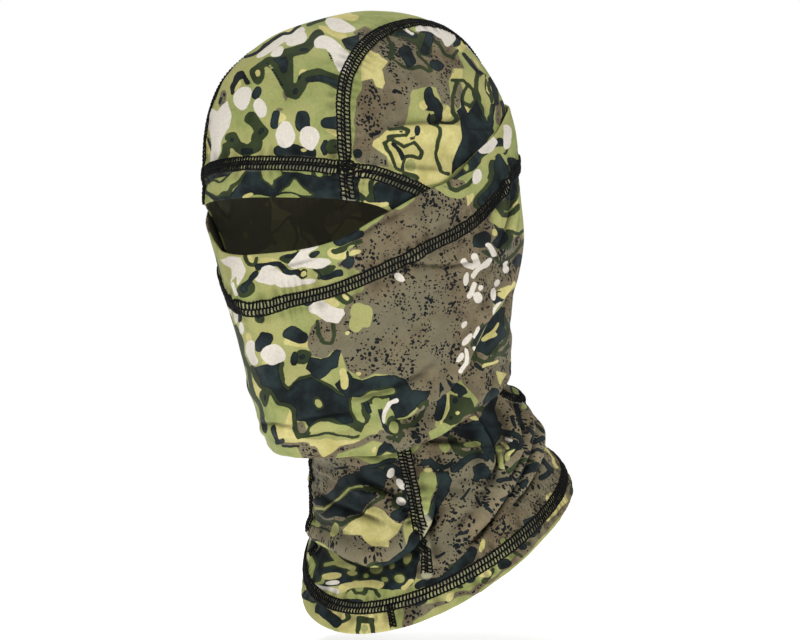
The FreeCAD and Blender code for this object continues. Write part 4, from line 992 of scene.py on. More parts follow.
LAYOUT = {
    "hood": {
        "khaki": [
            ("o", [(316, 28), (345, 33), (347, 40), (330, 36), (318, 34)]), ("e", 343, 16, 16, 4, -4),
            ("e", 237, 83.5, 3.0, 6, 30), ("e", 279, 117.5, 8, 4.6, 40), ("s", 2.8, [(330, 131), (341, 136)]),
            ("e", 305, 72, 6, 4.4, -30), ("s", 2.2, [(208, 132), (207, 150)]), ("s", 2.2, [(285, 30), (312, 20)]),
            ("o", [(368, 50), (386, 54), (387, 62), (381, 70), (388, 85), (385, 91), (378, 88), (373, 79), (360, 81),
                   (361, 66)]),
            ("s", 4.2, [(378, 38), (385, 36), (387, 44)]), ("s", 2.6, [(405, 40), (415, 49)]),
            ("s", 4.4, [(423, 57), (432, 61)]), ("e", 463, 48, 3.6, 6), ("e", 457.5, 70, 4.4, 8),
            ("e", 450.5, 75, 4.4, 3.2), ("e", 425, 103, 4.8, 5), ("e", 447, 113, 3.6, 7),
            ("s", 3.2, [(464, 102), (465.5, 114)]),
            ("o", [(374, 139), (386, 130), (402, 125), (437, 122), (458, 122), (459, 150), (450, 174), (437, 184),
                   (422, 189), (419, 178), (402, 171), (392, 168), (384, 157), (373, 147)]),
            ("e", 488.5, 92, 1.6, 8), ("e", 475, 62, 5, 3, 40)],
        "taupe": [
            ("s", 1.8, [(283, 91), (288, 97)]), ("e", 306, 110.5, 5, 2.6, 10), ("e", 222, 98, 4, 8.5, 20),
            ("e", 279, 108.5, 5, 2.2, 10),
            ("o", [(350, 32), (362, 26), (372, 34), (392, 24), (402, 33), (420, 34), (432, 30), (444, 36), (458, 50),
                   (464, 66), (452, 66), (448, 80), (450, 96), (456, 112), (446, 106), (440, 105), (436, 88),
                   (424, 88), (414, 90), (410, 96), (407, 112), (403, 124), (386, 130), (374, 139), (373, 147),
                   (384, 158), (388, 168), (372, 166), (357, 162), (352, 150), (356, 120), (360, 81), (373, 79),
                   (378, 88), (385, 91), (388, 85), (381, 70), (387, 62), (380, 54), (366, 50)]),
            ("e", 457, 94, 4.5, 14), ("s", 3.4, [(496, 104), (499, 122)]), ("s", 2.6, [(470, 60), (482, 74)])],
        "olive": [
            ("s", 6.2, [(248.5, 117), (254.8, 125), (260.6, 132.4), (256, 139)]),
            ("s", 5.6, [(231.9, 137), (236, 146), (246, 150), (257, 145)]), ("s", 4.5, [(226, 147), (219, 162)]),
            ("e", 257.4, 75, 6.2, 8.8, 30), ("s", 3.6, [(259, 70), (268, 61)]),
            ("s", 6.6, [(269, 62), (277, 72), (283, 82), (290, 88.5), (296, 90.5), (302, 85), (306, 77.5), (312, 74),
                        (328, 80), (343, 86)]),
            ("s", 4.2, [(289.3, 57), (288, 82)]), ("s", 5.4, [(279, 55), (289, 53), (302, 50), (311, 44), (316, 37)]),
            ("e", 335, 148.4, 8.4, 8.6), ("s", 1.6, [(322, 22), (308, 27)]),
            # brow strip
            ("s", 7.4, [(213, 187), (218, 192), (226, 189), (231, 181), (240, 174), (246, 169)]),
            ("s", 6.6, [(262, 168), (264, 182), (272, 190), (284, 178)]), ("e", 300, 190, 14, 7, 10),
            ("e", 320, 173, 10, 7), ("e", 284, 180, 8, 7),
            # side panel
            ("s", 1.7, [(386, 34), (393, 42)]), ("s", 2.7, [(393, 42), (395.1, 50.2), (391, 58.2)]),
            ("s", 1.7, [(391, 58.2), (397, 63.8), (408, 65.1), (416, 67.4), (426.1, 73.7), (429.6, 73), (422.7, 60.5),
                        (419, 52.5)]),
            ("s", 5.0, [(396, 30), (410, 36), (424, 46)]), ("s", 7.6, [(426, 40), (427, 48)]),
            ("s", 1.7, [(433, 37), (441, 44.4), (446.8, 54.8), (453.7, 58.2), (459.8, 53)]),
            ("s", 1.8, [(451, 78.9), (463, 78.9), (470, 85)]),
            ("s", 2.1, [(455, 80), (452.5, 97.3), (451.4, 110), (455.5, 119), (451, 122), (443, 121)]),
            ("s", 2.0, [(463, 89), (463, 100), (469, 105), (475, 99), (474, 88), (468, 83), (463, 89)]),
            ("s", 2.6, [(477, 70), (478, 84), (478, 102), (485, 120)]),
            ("e", 436, 119.5, 7.4, 6.8), ("s", 2.0, [(430, 121), (438, 126.4), (441, 130), (441.6, 138), (435.5, 150.5),
                                                     (438.7, 168.9), (447, 173.5)]),
            ("s", 2.0, [(390.5, 139), (383.6, 142.5), (386, 151.7), (391.7, 159.7), (395.1, 169), (404, 169),
                        (405, 158), (418, 156.5), (419.6, 149.4), (412.3, 142.5), (402.6, 147.6), (394, 141), (390, 139)]),
            ("s", 1.9, [(389, 128), (400, 126.8), (406.5, 130.5), (403, 134.6), (394, 135.5), (388, 136)]),
            ("s", 3.6, [(373, 183), (374, 195), (366, 200.5), (357, 196)]),
            ("s", 2.0, [(487, 80), (485.5, 92), (489, 103), (492, 96), (491, 84)]), ("e", 412, 176, 9, 5, 20)],
        "navy": [
            ("s", 2.2, [(233.4, 92), (231.9, 86), (237, 78), (244.6, 74.6), (246, 81)]), ("e", 254.8, 92.3, 4.6, 7.8),
            ("o", [(270, 57), (288, 56), (286, 74), (281, 75.5), (276, 65)]),
            ("o", [(340, 38.5), (357, 34), (357, 52), (350, 54), (344, 47)]),
            ("s", 3.2, [(311, 77.8), (326, 81), (343, 86)]), ("s", 1.1, [(330.4, 54.6), (332, 61.7)]),
            ("e", 295, 89.7, 3.4, 3.0), ("e", 302, 50.8, 4.2, 2.2), ("s", 4.2, [(274.6, 112), (273, 125)]),
            ("s", 7.8, [(304.6, 116), (303.6, 126)]), ("s", 6.2, [(329, 122), (343, 125)]),
            ("s", 2.4, [(327, 143), (325, 149), (328, 155)]), ("e", 336, 149, 1.8, 2.4), ("e", 260, 131.8, 2.3, 3.6, 20),
            ("s", 2.8, [(241, 149.7), (251, 149.7)]), ("e", 232, 140, 1.7, 2.6),
            ("s", 6.0, [(279, 152), (290, 150.5), (300, 153), (312, 155)]), ("s", 1.3, [(267, 66), (272, 75), (280, 86)]),
            ("e", 300.8, 76, 2.2, 2.4), ("e", 219, 100, 1.8, 4, 20), ("s", 1.4, [(209.5, 140), (211, 152)]),
            ("s", 1.6, [(246, 57), (262, 45), (278, 36), (300, 27)]), ("s", 1.3, [(312, 22), (330, 17)]),
            # brow strip
            ("o", [(203, 186), (212, 199), (222, 204), (250, 196), (300, 196), (357, 206), (360, 176), (342, 172),
                   (318, 176), (290, 170), (262, 170), (252, 172), (240, 184), (228, 196), (214, 197), (208, 184)]),
            ("s", 3.0, [(276, 176), (272, 186)]), ("e", 284, 182, 2.2, 2.2), ("s", 6.0, [(205, 176), (232, 168), (262, 166)]),
            ("s", 4.4, [(286, 162), (330, 166)]),
            # side panel
            ("s", 5.6, [(406, 52.5), (411, 59.5)]), ("s", 4.6, [(431, 39), (427, 49)]), ("s", 2.2, [(398, 32), (416, 38)]),
            ("e", 435.3, 65.7, 7.6, 6.4), ("s", 3.2, [(455, 37), (458, 46)]), ("s", 2.0, [(440, 34), (424, 34)]),
            ("o", [(462, 90), (466, 113), (476, 98), (484, 118), (490, 124), (496, 132), (480, 151), (466, 164),
                   (450, 176), (452, 163), (458.5, 150), (458.5, 122), (455, 111), (461, 106)]),
            ("s", 4.0, [(428.4, 92), (431, 99), (437.6, 108), (441, 116)]), ("o", [(426, 109), (434, 99), (443, 112)]),
            ("e", 438, 121.6, 3.2, 2.0), ("s", 1.3, [(430, 114), (428.5, 119), (431, 124)]),
            ("s", 2.6, [(493, 80), (497.5, 90), (494, 105)]), ("s", 3.0, [(490, 108), (491, 126)]),
            ("s", 2.0, [(501, 104), (505, 114), (502, 126)]), ("s", 1.8, [(466, 56), (476, 68), (486, 76)]),
            ("s", 2.4, [(393, 145), (402, 158)]), ("e", 417.3, 131, 4.4, 5.6), ("e", 410.5, 137.6, 4, 1.5),
            ("e", 399, 130.5, 1.8, 1.6), ("e", 358, 152, 5, 5),
            ("o", [(377, 186), (384, 174), (400, 174), (418, 180), (425, 190), (408, 203), (391, 213), (384, 204),
                   (372, 201)]), ("e", 372, 132, 3, 1.8), ("s", 1.7, [(372, 133), (380, 130)])],
        "green": [
            ("s", 4.3, [(213, 186), (218, 191), (226, 188), (230, 181), (238, 174), (245, 169)]),
            ("o", [(264, 170), (283, 170), (283, 175), (272, 182), (270, 188), (264, 180)]),
            ("o", [(294, 179), (302, 187), (313, 194), (279, 194), (288, 188)]), ("e", 319.5, 171.5, 4, 4.6),
            ("s", 2.2, [(230, 150), (230.5, 158)]), ("e", 363.5, 186.7, 6, 7.4),
            ("e", 412, 164.5, 5, 4.6), ("s", 2.4, [(484, 76), (484, 95), (487, 114)]), ("e", 468, 73, 4, 7),
            ("e", 468.6, 94, 2.8, 6), ("e", 269.5, 70, 1.5, 2.8, -30)],
        "yellow": [("e", 247.5, 195.5, 7, 2.4), ("e", 344, 191, 3.6, 3), ("s", 2.4, [(364, 202), (384, 205)]),
                   ("e", 259, 74, 2.0, 3.4, 30), ("e", 301, 150.5, 3, 2), ("s", 1.4, [(331, 172), (341, 170)])],
        "white": [
            ("s", 6.6, [(320, 44.5), (331, 45.5), (339, 53)]), ("s", 7.4, [(339, 54), (344, 68)]),
            ("e", 338, 26, 15.5, 6.2, 8), ("s", 3.2, [(258, 54), (270, 46), (284, 38), (302, 32)]),
            ("e", 296.3, 39.3, 10.5, 6, -15), ("e", 277.2, 50.6, 8.2, 4.6, -25), ("e", 242.7, 96.7, 7.8, 12),
            ("e", 258.9, 107.6, 6.8, 9.2), ("e", 283.8, 136.3, 10, 12.8), ("e", 309.7, 138.2, 10.5, 13.2),
            ("o", [(228, 100), (230, 107), (230, 120), (226.8, 132.4), (219, 148), (208, 174), (205, 171), (209.5, 150),
                   (213, 139), (208.5, 128), (207, 118), (211, 107), (216, 111), (221, 104)]),
            ("s", 4.6, [(420, 29.5), (434, 29.5), (446, 33), (450, 42)]), ("s", 1.3, [(402, 27.5), (413, 35)])],
    },
    "mask": {
        "khaki": [
            ("e", 270, 260, 10, 4.6), ("e", 251, 258.5, 3.4, 4), ("e", 337, 252, 9, 6.5), ("e", 329, 303, 7, 4.6),
            ("s", 3.4, [(289, 343.5), (309, 343.5)]), ("s", 3.0, [(257, 378), (262, 394)]), ("e", 250, 341, 2.6, 6),
            ("s", 1.8, [(238, 332), (241, 352)]),
            ("o", [(287, 407), (292, 412), (293, 430), (300, 438), (318, 440), (340, 438), (360, 437), (360, 445),
                   (340, 444), (326, 456), (318, 458), (311, 445), (290, 441), (275, 437), (275, 426), (284, 424)]),
            ("s", 4.6, [(471, 196), (469, 214)]), ("e", 512.5, 201, 3.0, 6.5), ("e", 497, 208, 6, 3.6),
            ("o", [(498.5, 290), (504, 284), (514, 279), (518, 268), (512, 289), (502, 299)]),
            ("s", 2.6, [(484, 368), (497, 361)]), ("e", 503.5, 376, 3.2, 6.5), ("e", 497.7, 326, 3, 5),
            ("s", 4.2, [(338, 462), (364, 463)]), ("e", 412, 455, 8, 2.6, -20), ("e", 372, 449, 2.4, 3),
            ("s", 1.0, [(449.5, 394), (450, 408), (441, 421)]), ("e", 452, 447, 3, 6), ("e", 443, 440, 6, 2.4, -20),
            ("e", 357, 333, 0.5, 0.5)],
        "taupe": [
            ("o", [(352, 236), (372, 226), (392, 212), (412, 200), (430, 188), (444, 186), (452, 192), (466, 193),
                   (468, 206), (476, 196), (486, 196), (493, 204), (492, 222), (500, 228), (506, 240), (522, 232),
                   (526, 250), (522, 262), (512, 282), (504, 284), (498, 292), (492, 310), (480, 332), (470, 345),
                   (474, 372), (462, 384), (448, 396), (440, 396), (440, 402), (436, 420), (434, 434), (424, 446),
                   (408, 452), (396, 452), (384, 443), (370, 441), (356, 446), (336, 452), (330, 470), (300, 470),
                   (298, 446), (316, 446), (326, 456), (340, 444), (360, 438), (380, 428), (400, 428), (410, 412),
                   (420, 400), (410, 390), (402, 379), (376, 374), (362, 380), (346, 371), (342, 356), (334, 352),
                   (322, 362), (310, 358), (308, 344), (310, 326), (320, 322), (338, 315), (344, 300), (352, 296),
                   (361, 292), (360, 284), (362, 272), (356, 268), (350, 272), (338, 268), (336, 262), (352, 256),
                   (348, 246)]),
            ("s", 2.4, [(283, 442), (310, 445)]), ("e", 301, 427.5, 6.4, 7), ("s", 2.2, [(448, 182), (452, 187)]),
            ("s", 3.4, [(453, 183), (463, 184)]), ("e", 267, 333.5, 4, 1.8), ("e", 508, 316, 8, 18, 10),
            ("e", 512, 345, 8, 22), ("o", [(476, 362), (500, 362), (515, 372), (500, 392), (486, 402), (478, 392),
                                          (466, 384), (470, 372)]),
            ("e", 289, 256, 4, 2.4),
            ("o", [(540, 235), (522, 240), (519, 268), (508, 286), (497, 301), (489, 313), (479, 330), (470, 345),
                   (462, 368), (466, 384), (486, 400), (504, 388), (516, 380), (540, 380)]),
            ("o", [(384, 443), (398, 452), (412, 444), (436, 424), (444, 430), (458, 428), (470, 412), (480, 400),
                   (466, 384), (500, 370), (535, 360), (535, 400), (500, 425), (462, 455), (420, 485), (320, 490),
                   (322, 466), (340, 460), (360, 458), (376, 462)])],
        "olive": [
            ("s", 1.9, [(246, 256), (248.5, 263), (255, 263), (257.5, 256)]), ("e", 289, 256.5, 8.5, 4.6),
            ("e", 247, 289.5, 7.6, 8.2), ("e", 325, 270, 11, 5.4, -15), ("s", 2.8, [(333, 250), (345, 245), (357, 241)]),
            ("e", 260.5, 317.5, 5.2, 7), ("e", 344, 298.6, 9.4, 5.6, 15), ("s", 2.6, [(312, 299.5), (325, 297), (337, 293)]),
            ("e", 301.8, 357.5, 9.4, 7.8), ("s", 2.1, [(317, 323), (318, 332), (323.3, 340.4), (331.4, 342), (333.6, 333),
                                                       (332, 325)]),
            # the big shape on the chin
            ("s", 3.0, [(254, 367), (260, 379), (266, 388), (272, 391), (280, 402), (288, 406), (293, 412), (294, 429),
                        (300, 435.6), (308, 435), (312, 426), (321, 421), (333, 419.5), (342, 425), (353, 423),
                        (351.6, 411), (351.6, 396), (338, 391.6), (318, 380), (310, 376.6), (299, 379), (294.6, 387),
                        (291, 390), (284, 385), (280.6, 377), (279.6, 364)]),
            ("e", 266, 397, 4.8, 8.6), ("s", 2.8, [(238, 327), (243, 348), (247, 362), (251, 378), (256, 395),
                                                  (260, 408), (262, 416)]),
            ("s", 1.3, [(308, 437), (335, 432.6), (352, 434.6), (371, 433)]), ("s", 4.4, [(353, 423), (362, 428), (370, 426)]),
            ("s", 2.6, [(372, 404), (386, 396), (396, 393), (408, 391.6), (411.5, 399), (417, 405), (425, 399)]),
            ("s", 3.2, [(386, 396.5), (371, 399), (364, 408), (366.5, 419), (362, 428)]), ("e", 395.8, 425.4, 9, 9.6),
            ("s", 2.4, [(403, 425.4), (414.2, 423.3), (421.8, 415.7), (425, 405)]), ("s", 2.2, [(386, 436), (397, 440), (403, 432)]),
            ("o", [(452, 395), (463, 397), (472, 397), (475, 405), (468, 415), (460, 425), (450, 425), (442, 420),
                   (451, 408)]),
            ("s", 2.4, [(495.6, 208.7), (503.2, 215), (512, 212.4), (517, 205)]),
            ("s", 1.8, [(506.4, 236), (507.5, 229.3), (519.4, 233.6), (525, 229)]),
            ("s", 1.8, [(483.6, 252), (492, 256), (498.8, 262.6), (511.8, 252), (526, 241)]),
            ("s", 3.6, [(497, 244), (506.4, 243.6), (508, 236)]), ("s", 2.0, [(474, 361.5), (487, 363.8), (495.6, 354),
                                                                             (505.3, 354), (509, 346)]),
            ("s", 2.2, [(447, 181), (450.5, 189.5), (459, 189.5), (470, 184.5), (476, 177)]),
            ("s", 6.6, [(491, 168), (497, 182), (488, 194), (481, 201)]), ("s", 7.6, [(509, 168), (512, 190), (504, 203)]),
            ("s", 2.0, [(503, 314), (509, 328), (504, 345), (488, 354)]),
            ("s", 2.0, [(473, 361), (486, 364), (497, 353), (508, 357)]), ("s", 2.2, [(480, 326), (473, 344), (476, 356)]),
            ("s", 3.0, [(470, 410), (480, 408), (485, 418), (482, 430)])],
        "navy": [
            ("s", 3.6, [(258, 265), (268, 265.5), (279, 263), (286, 270), (296, 273)]),
            ("s", 2.6, [(254.5, 271), (249, 281), (245, 287)]), ("e", 246, 290, 2.2, 2.2), ("s", 2.0, [(287, 254), (297, 253)]),
            ("e", 314.9, 255.8, 7.6, 3.0, -25), ("e", 303.5, 276, 4.8, 4.8), ("e", 348, 262.5, 8.6, 7), ("s", 2.2, [(346, 251), (347.5, 262)]),
            ("s", 3.4, [(324, 277), (340, 275)]), ("s", 3.4, [(337, 241), (350, 236.5), (359, 233)]), ("s", 2.8, [(315, 272), (319, 277)]),
            ("e", 259.5, 318.5, 2.4, 2.2), ("e", 306, 300.5, 6.4, 4), ("s", 1.9, [(243, 312), (243.4, 320)]),
            ("s", 5.4, [(267, 335.5), (261.5, 346)]), ("e", 296, 335.3, 13, 7.6, 12), ("e", 292.5, 358, 4.6, 7.4),
            ("e", 301.8, 358, 2.8, 2.8),
            ("o", [(342, 352), (337, 369), (330.4, 370), (320, 378.6), (311, 376), (304, 369), (310, 359), (320, 362),
                   (329, 358), (336, 351)]),
            ("o", [(347, 372), (353, 379), (362, 381), (376, 376.5), (396, 377.5), (406, 380), (412, 389.7), (430, 388.6),
                   (426, 398), (414, 405), (406, 412), (398, 417), (391, 410), (388, 398), (374, 391), (362, 397),
                   (350, 396), (340, 390), (335, 384), (341, 379)]),
            ("o", [(256, 366), (268, 364), (279, 363), (280, 377), (285, 386), (291, 390.5), (295, 388), (299, 380),
                   (310, 377.5), (318, 381), (338, 392.5), (350.5, 396.5), (350.5, 411), (352, 421), (342, 424),
                   (334, 418.5), (320, 420), (310, 425), (306, 420), (296, 420), (293.5, 410), (289, 405), (280, 401),
                   (272, 390), (264, 385)]),
            ("s", 1.6, [(297, 382), (294, 389)]), ("e", 266, 398, 1.3, 2.6), ("s", 2.6, [(262, 419), (266, 430)]),
            ("s", 2.4, [(274, 429), (275, 440), (283, 438.6)]), ("s", 1.5, [(283, 444), (300, 446)]),
            ("s", 2.0, [(366, 404), (369, 414)]), ("s", 3.0, [(380, 412), (384, 424), (391, 430)]),
            ("s", 5.0, [(456, 387), (464, 391)]), ("s", 4.4, [(443.5, 399), (438.6, 415)]), ("e", 458, 400.5, 3, 2.4),
            ("e", 452, 416.8, 2.4, 2), ("s", 2.0, [(468, 392), (463, 396)]),
            ("o", [(374, 461), (376, 447), (382, 441), (390, 443), (396, 452), (397, 463), (390, 463), (384, 454),
                   (378, 461)]),
            ("e", 482.6, 239, 10, 8.6, -25), ("s", 4.0, [(500, 226), (503, 236), (497, 243)]), ("e", 518, 260, 6.6, 9, 20),
            ("s", 3.2, [(497, 298), (501, 294)]), ("s", 3.0, [(501, 308), (502, 320)]), ("o", [(478, 330), (484, 320), (494, 314), (499, 309), (505, 320), (507, 336), (498, 346),
                                                    (487, 356), (476, 353), (474, 342)]),
            ("s", 1.6, [(476, 366), (484, 370)]), ("s", 4.6, [(455, 176), (463, 171), (473, 165), (481, 157)]),
            ("s", 3.0, [(482, 150), (487, 160), (497, 151), (501, 140)]), ("s", 5.4, [(499, 160), (502, 176), (494, 190), (485, 200)]),
            ("s", 5.6, [(512, 160), (514, 180), (508, 196)]), ("e", 506, 147, 4, 6), ("e", 508, 178, 1.0, 1.0),
            ("s", 3.8, [(468, 426), (478, 418), (486, 408), (494, 398)]), ("s", 4.4, [(488, 402), (496, 392)])],
        "green": [
            ("e", 312, 276, 5.2, 5), ("e", 349.8, 246.4, 4.2, 1.9, -15), ("e", 357, 312, 9, 7), ("e", 357, 324, 8, 9),
            ("s", 4.2, [(315, 429), (330, 426.6), (346, 429.5)]), ("e", 358.5, 410, 4.6, 12, -8), ("e", 318, 403.7, 3.8, 3.8),
            ("s", 3.2, [(360, 403), (374, 393.6), (390, 392.4)]), ("e", 378, 405.4, 6.6, 6.2), ("e", 396.2, 425.8, 5.2, 6.4),
            ("o", [(358, 436), (361, 425), (370, 417), (379, 424), (375, 433)]), ("o", [(376, 462), (385, 452), (395, 463)]),
            ("o", [(430, 430), (444, 420), (453, 426), (452, 436), (432, 446)]), ("e", 366, 317, 7.4, 10), ("e", 361, 288, 4, 5),
            ("s", 3.3, [(438, 188), (447, 193), (459, 196), (471, 190.5), (481, 187), (487.5, 174), (486, 161),
                        (494, 152.5), (504, 148)]),
            ("e", 466.5, 168, 4, 3.6, -20), ("o", [(495, 211), (504, 219), (514, 213), (522, 224), (518, 230), (508, 226), (500, 228),
                                                   (492, 221)]),
            ("e", 324, 247, 5.6, 5), ("e", 357, 324, 7, 8)],
        "yellow": [
            ("e", 303.5, 276, 3.0, 3.0), ("e", 345.5, 298.6, 3.2, 2.2, 15), ("e", 356, 253, 6.4, 3.0, -8),
            ("e", 347.2, 333.3, 2.9, 2.3), ("s", 4.2, [(341.5, 374), (345, 383)]), ("e", 358.3, 375, 2.6, 2.0),
            ("e", 495.4, 233, 2.6, 3.2), ("s", 1.6, [(487, 339), (493, 332), (498, 322)]), ("s", 2.6, [(487, 341), (494, 337)]),
            ("s", 1.8, [(484, 367), (492, 364), (498, 361)]), ("s", 2.2, [(501, 294), (507, 288), (511, 283)]),
            ("o", [(498, 372), (507, 374), (501, 386)]), ("e", 460.4, 411.6, 2.6, 2.8), ("e", 266, 362, 2.8, 2.2)],
        "white": [
            ("o", [(262, 266), (271, 265.6), (281.4, 272), (294, 273.5), (302, 281.6), (316, 280), (316, 284),
                   (302, 287), (288, 289), (280, 288), (273, 281.6), (258, 284), (253.6, 280.6), (257, 272)]),
            ("o", [(286.5, 262), (298, 252.5), (319, 245), (320.5, 248), (311, 253), (306.5, 257), (309, 260.5),
                   (329, 257.6), (331.4, 262), (322, 267.3), (308, 270.4), (293.7, 268.4)]),
            ("o", [(218, 259), (228, 257), (243.7, 260), (246, 271), (241, 284), (237.6, 276), (233.5, 281),
                   (232, 270), (226, 264.5)]),
            ("s", 1.9, [(236, 282), (239, 293)]),
            ("o", [(306, 305), (315, 301), (322, 302), (330, 307), (340, 308.5), (342, 314), (336, 322), (326, 324),
                   (316, 316), (308, 311)]),
            ("s", 3.2, [(226.5, 304), (231, 325), (233.5, 338)]), ("e", 239, 315.5, 3, 7.4), ("e", 244.2, 329.2, 2.3, 7.2),
            ("e", 272.8, 353.2, 10.5, 11.6), ("s", 4.3, [(251.5, 347), (256, 360)]),
            ("e", 401.2, 277.9, 4.8, 4.8), ("s", 3.1, [(463, 260.7), (467.6, 265.6), (475, 268), (479, 264), (475.5, 257)]),
            ("s", 2.9, [(488.5, 244.5), (491.6, 252.6)]), ("s", 2.3, [(488, 259), (484.7, 266.2), (475, 277)]),
            ("e", 467.4, 280.3, 2.9, 6.8, 15), ("s", 2.5, [(476, 284.6), (472.8, 292), (469, 296)]), ("e", 482, 287.9, 2.6, 2.7),
            ("e", 478.2, 296.5, 5, 4.8), ("e", 503.7, 262.9, 2.0, 4.4, 35), ("e", 503.7, 271, 3.2, 4.5),
            ("e", 497.7, 284, 2.2, 3.3), ("e", 495.4, 293.8, 2.7, 5), ("e", 497, 305, 2.2, 7.5, 35),
            ("e", 463.6, 325.3, 2.4, 3.6, 20), ("e", 466.8, 338.7, 3.2, 6.6, 50), ("e", 475.2, 333.3, 1.8, 5, 10),
            ("e", 457, 355, 2.7, 5.4, 25), ("s", 2.1, [(464.1, 348.4), (463, 360.4), (461, 371)]), ("e", 474.1, 349, 2.6, 4),
            ("e", 470.6, 361.5, 1.3, 6.5, 25), ("s", 2.4, [(395.5, 401.6), (390.4, 404.8), (386.6, 412.4), (384, 419.6)]),
            ("e", 479, 175.5, 4.7, 8.4, 12), ("s", 5.4, [(486, 150), (493.5, 141)]), ("s", 3.8, [(507, 126), (507, 143)])],
    },
    "neck": {
        "khaki": [("o", [(330, 606), (386, 611), (392, 630), (352, 634), (320, 618)])],
        "taupe": [
            ("o", [(290, 440), (345, 455), (384, 466), (415, 450), (414, 500), (404, 524), (403, 545), (400, 566),
                   (368, 574), (349, 572), (330, 562), (306, 548), (292, 530)]),
            ("o", [(412, 452), (430, 440), (449, 425), (470, 408), (489, 395), (508, 372), (530, 372), (548, 384),
                   (566, 404), (582, 440), (590, 470), (566, 492), (546, 508), (520, 534), (486, 560), (456, 576),
                   (430, 586), (416, 578), (416, 520)]),
            ("o", [(400, 606), (430, 606), (470, 590), (500, 572), (520, 548), (560, 500), (572, 478), (578, 490),
                   (560, 516), (520, 560), (480, 590), (440, 608), (402, 628)])],
        "olive": [
            # front, above the overhang
            ("s", 2.4, [(316, 513), (332, 502), (351, 488), (377, 488), (382, 495), (371, 506), (364, 515), (342, 523),
                        (323, 519), (316, 513)]),
            ("s", 1.5, [(349, 521), (359, 522.6), (364.6, 519), (366, 511)]), ("s", 1.3, [(309, 503), (308, 516), (313, 523),
                                                                                 (327, 526), (333, 531)]),
            ("e", 400, 500, 8, 8), ("s", 2.2, [(371, 471), (379, 466), (388, 470), (386, 478)]),
            ("s", 1.6, [(416, 478), (422, 478), (425, 484), (421, 491), (416, 491)]),
            # front, below the overhang
            ("e", 338, 573, 21, 11), ("e", 350, 572.5, 9, 6.5), ("e", 374, 568, 11, 7.5), ("e", 400, 577, 9, 8),
            ("e", 408, 559, 8, 10), ("s", 2.0, [(310, 557), (322, 558), (334, 553), (346, 561), (356, 560), (366, 566)]),
            ("s", 2.0, [(343, 592), (352, 588), (356, 594), (364, 594), (366, 587), (374, 587), (380, 596)]),
            ("s", 2.4, [(304, 560), (303, 572), (306, 584)]), ("s", 2.2, [(312, 600), (326, 606), (344, 605)]),
            ("s", 2.4, [(359, 629), (360, 620), (370, 619), (373, 628)]), ("s", 2.4, [(346, 612), (349, 618), (340, 622)]),
            # right
            ("s", 3.0, [(468, 413), (476, 407), (484, 409), (487, 418), (482, 429), (480, 439), (473, 444), (466, 444),
                        (460, 446), (453, 438)]),
            ("s", 3.0, [(452, 437), (457, 449), (467, 455), (480, 451), (484, 446)]),
            ("s", 2.0, [(498, 442), (496, 452), (498, 462)]), ("s", 1.6, [(504, 443), (506, 453), (504, 462)]),
            ("s", 1.8, [(506, 470), (516, 462), (524, 458), (531, 461)]),
            ("e", 456, 566, 6.4, 3), ("s", 2.0, [(518, 530), (519, 541), (528, 543)]),
            ("s", 2.2, [(507, 540), (512, 552), (519, 557)]), ("s", 2.4, [(493, 570), (486, 581)]),
            ("e", 461, 587, 4.4, 3), ("s", 2.2, [(566, 474), (573, 482), (569, 492)]), ("s", 3.0, [(405, 606), (412, 602)])],
        "navy": [
            ("o", [(314, 497), (317, 503), (325, 504), (338, 496), (355, 485), (370, 484), (383, 488), (389, 480),
                   (389, 473), (378, 468), (366, 467), (357, 470), (345, 476), (329, 491)]),
            ("o", [(321, 513), (338, 501), (352, 490.5), (370, 490.5), (377, 494), (366, 506), (360, 513),
                   (344, 518), (328, 516)]),
            ("s", 2.6, [(362, 467), (380, 464), (394, 463)]), ("s", 1.6, [(334, 470), (346, 466)]),
            ("e", 399, 514, 8, 6.4), ("s", 4.4, [(388, 470), (402, 472), (406, 494), (402, 510)]),
            ("o", [(438, 470), (450, 470), (452, 480), (449, 490), (441, 503), (436, 516), (424, 523), (421, 513),
                   (430, 500), (437, 488)]),
            ("s", 3.4, [(421, 462), (428, 460), (436, 466)]),
            # ground below the overhang
            ("o", [(303, 529), (316, 538), (328, 549), (349, 560), (366, 566), (386, 558), (400, 548), (408, 534),
                   (416, 528), (419, 556), (414, 584), (394, 593), (366, 583), (350, 588), (336, 585), (318, 588),
                   (306, 582), (300, 565), (302, 545)]),
            ("s", 5.0, [(306, 594), (330, 602), (360, 606)]), ("s", 5.5, [(320, 610), (338, 622)]), ("e", 419, 603, 10, 4.4),
            # right
            ("o", [(454, 431), (462, 427), (472, 420), (479.6, 417), (489, 405), (497, 394), (499, 397), (496, 408),
                   (498, 421), (504, 425), (500, 434), (495, 441), (493, 462), (484, 455), (478, 446), (479, 440),
                   (466, 438)]),
            ("o", [(440, 421), (452, 430), (449, 436), (444, 434)]),
            ("s", 3.6, [(455, 469), (464, 461), (474, 458), (484, 458)]), ("s", 2.6, [(434, 462), (444, 466), (452, 463)]),
            ("o", [(472, 469), (484, 464), (491, 470), (492, 480), (482, 479), (479, 484), (473, 481), (475, 475)]),
            ("s", 3.0, [(503, 432), (511, 433), (518, 440), (515, 447)]), ("s", 2.0, [(524, 428), (530, 434), (528, 441)]),
            ("s", 2.2, [(533, 440), (540, 436)]), ("s", 4.2, [(509, 443), (510, 452)]), ("s", 1.6, [(536, 424), (541, 430)]),
            ("s", 1.5, [(512, 418), (515, 426)]), ("s", 1.8, [(526, 452), (535, 449), (540, 453)]),
            ("s", 2.0, [(541, 462), (549, 468)]), ("s", 1.7, [(500, 500), (509, 494)]), ("e", 516, 505, 3.4, 2),
            ("s", 1.6, [(486, 508), (492, 514)]), ("s", 1.8, [(462, 497), (470, 490)]), ("s", 1.6, [(455, 534), (465, 530)]),
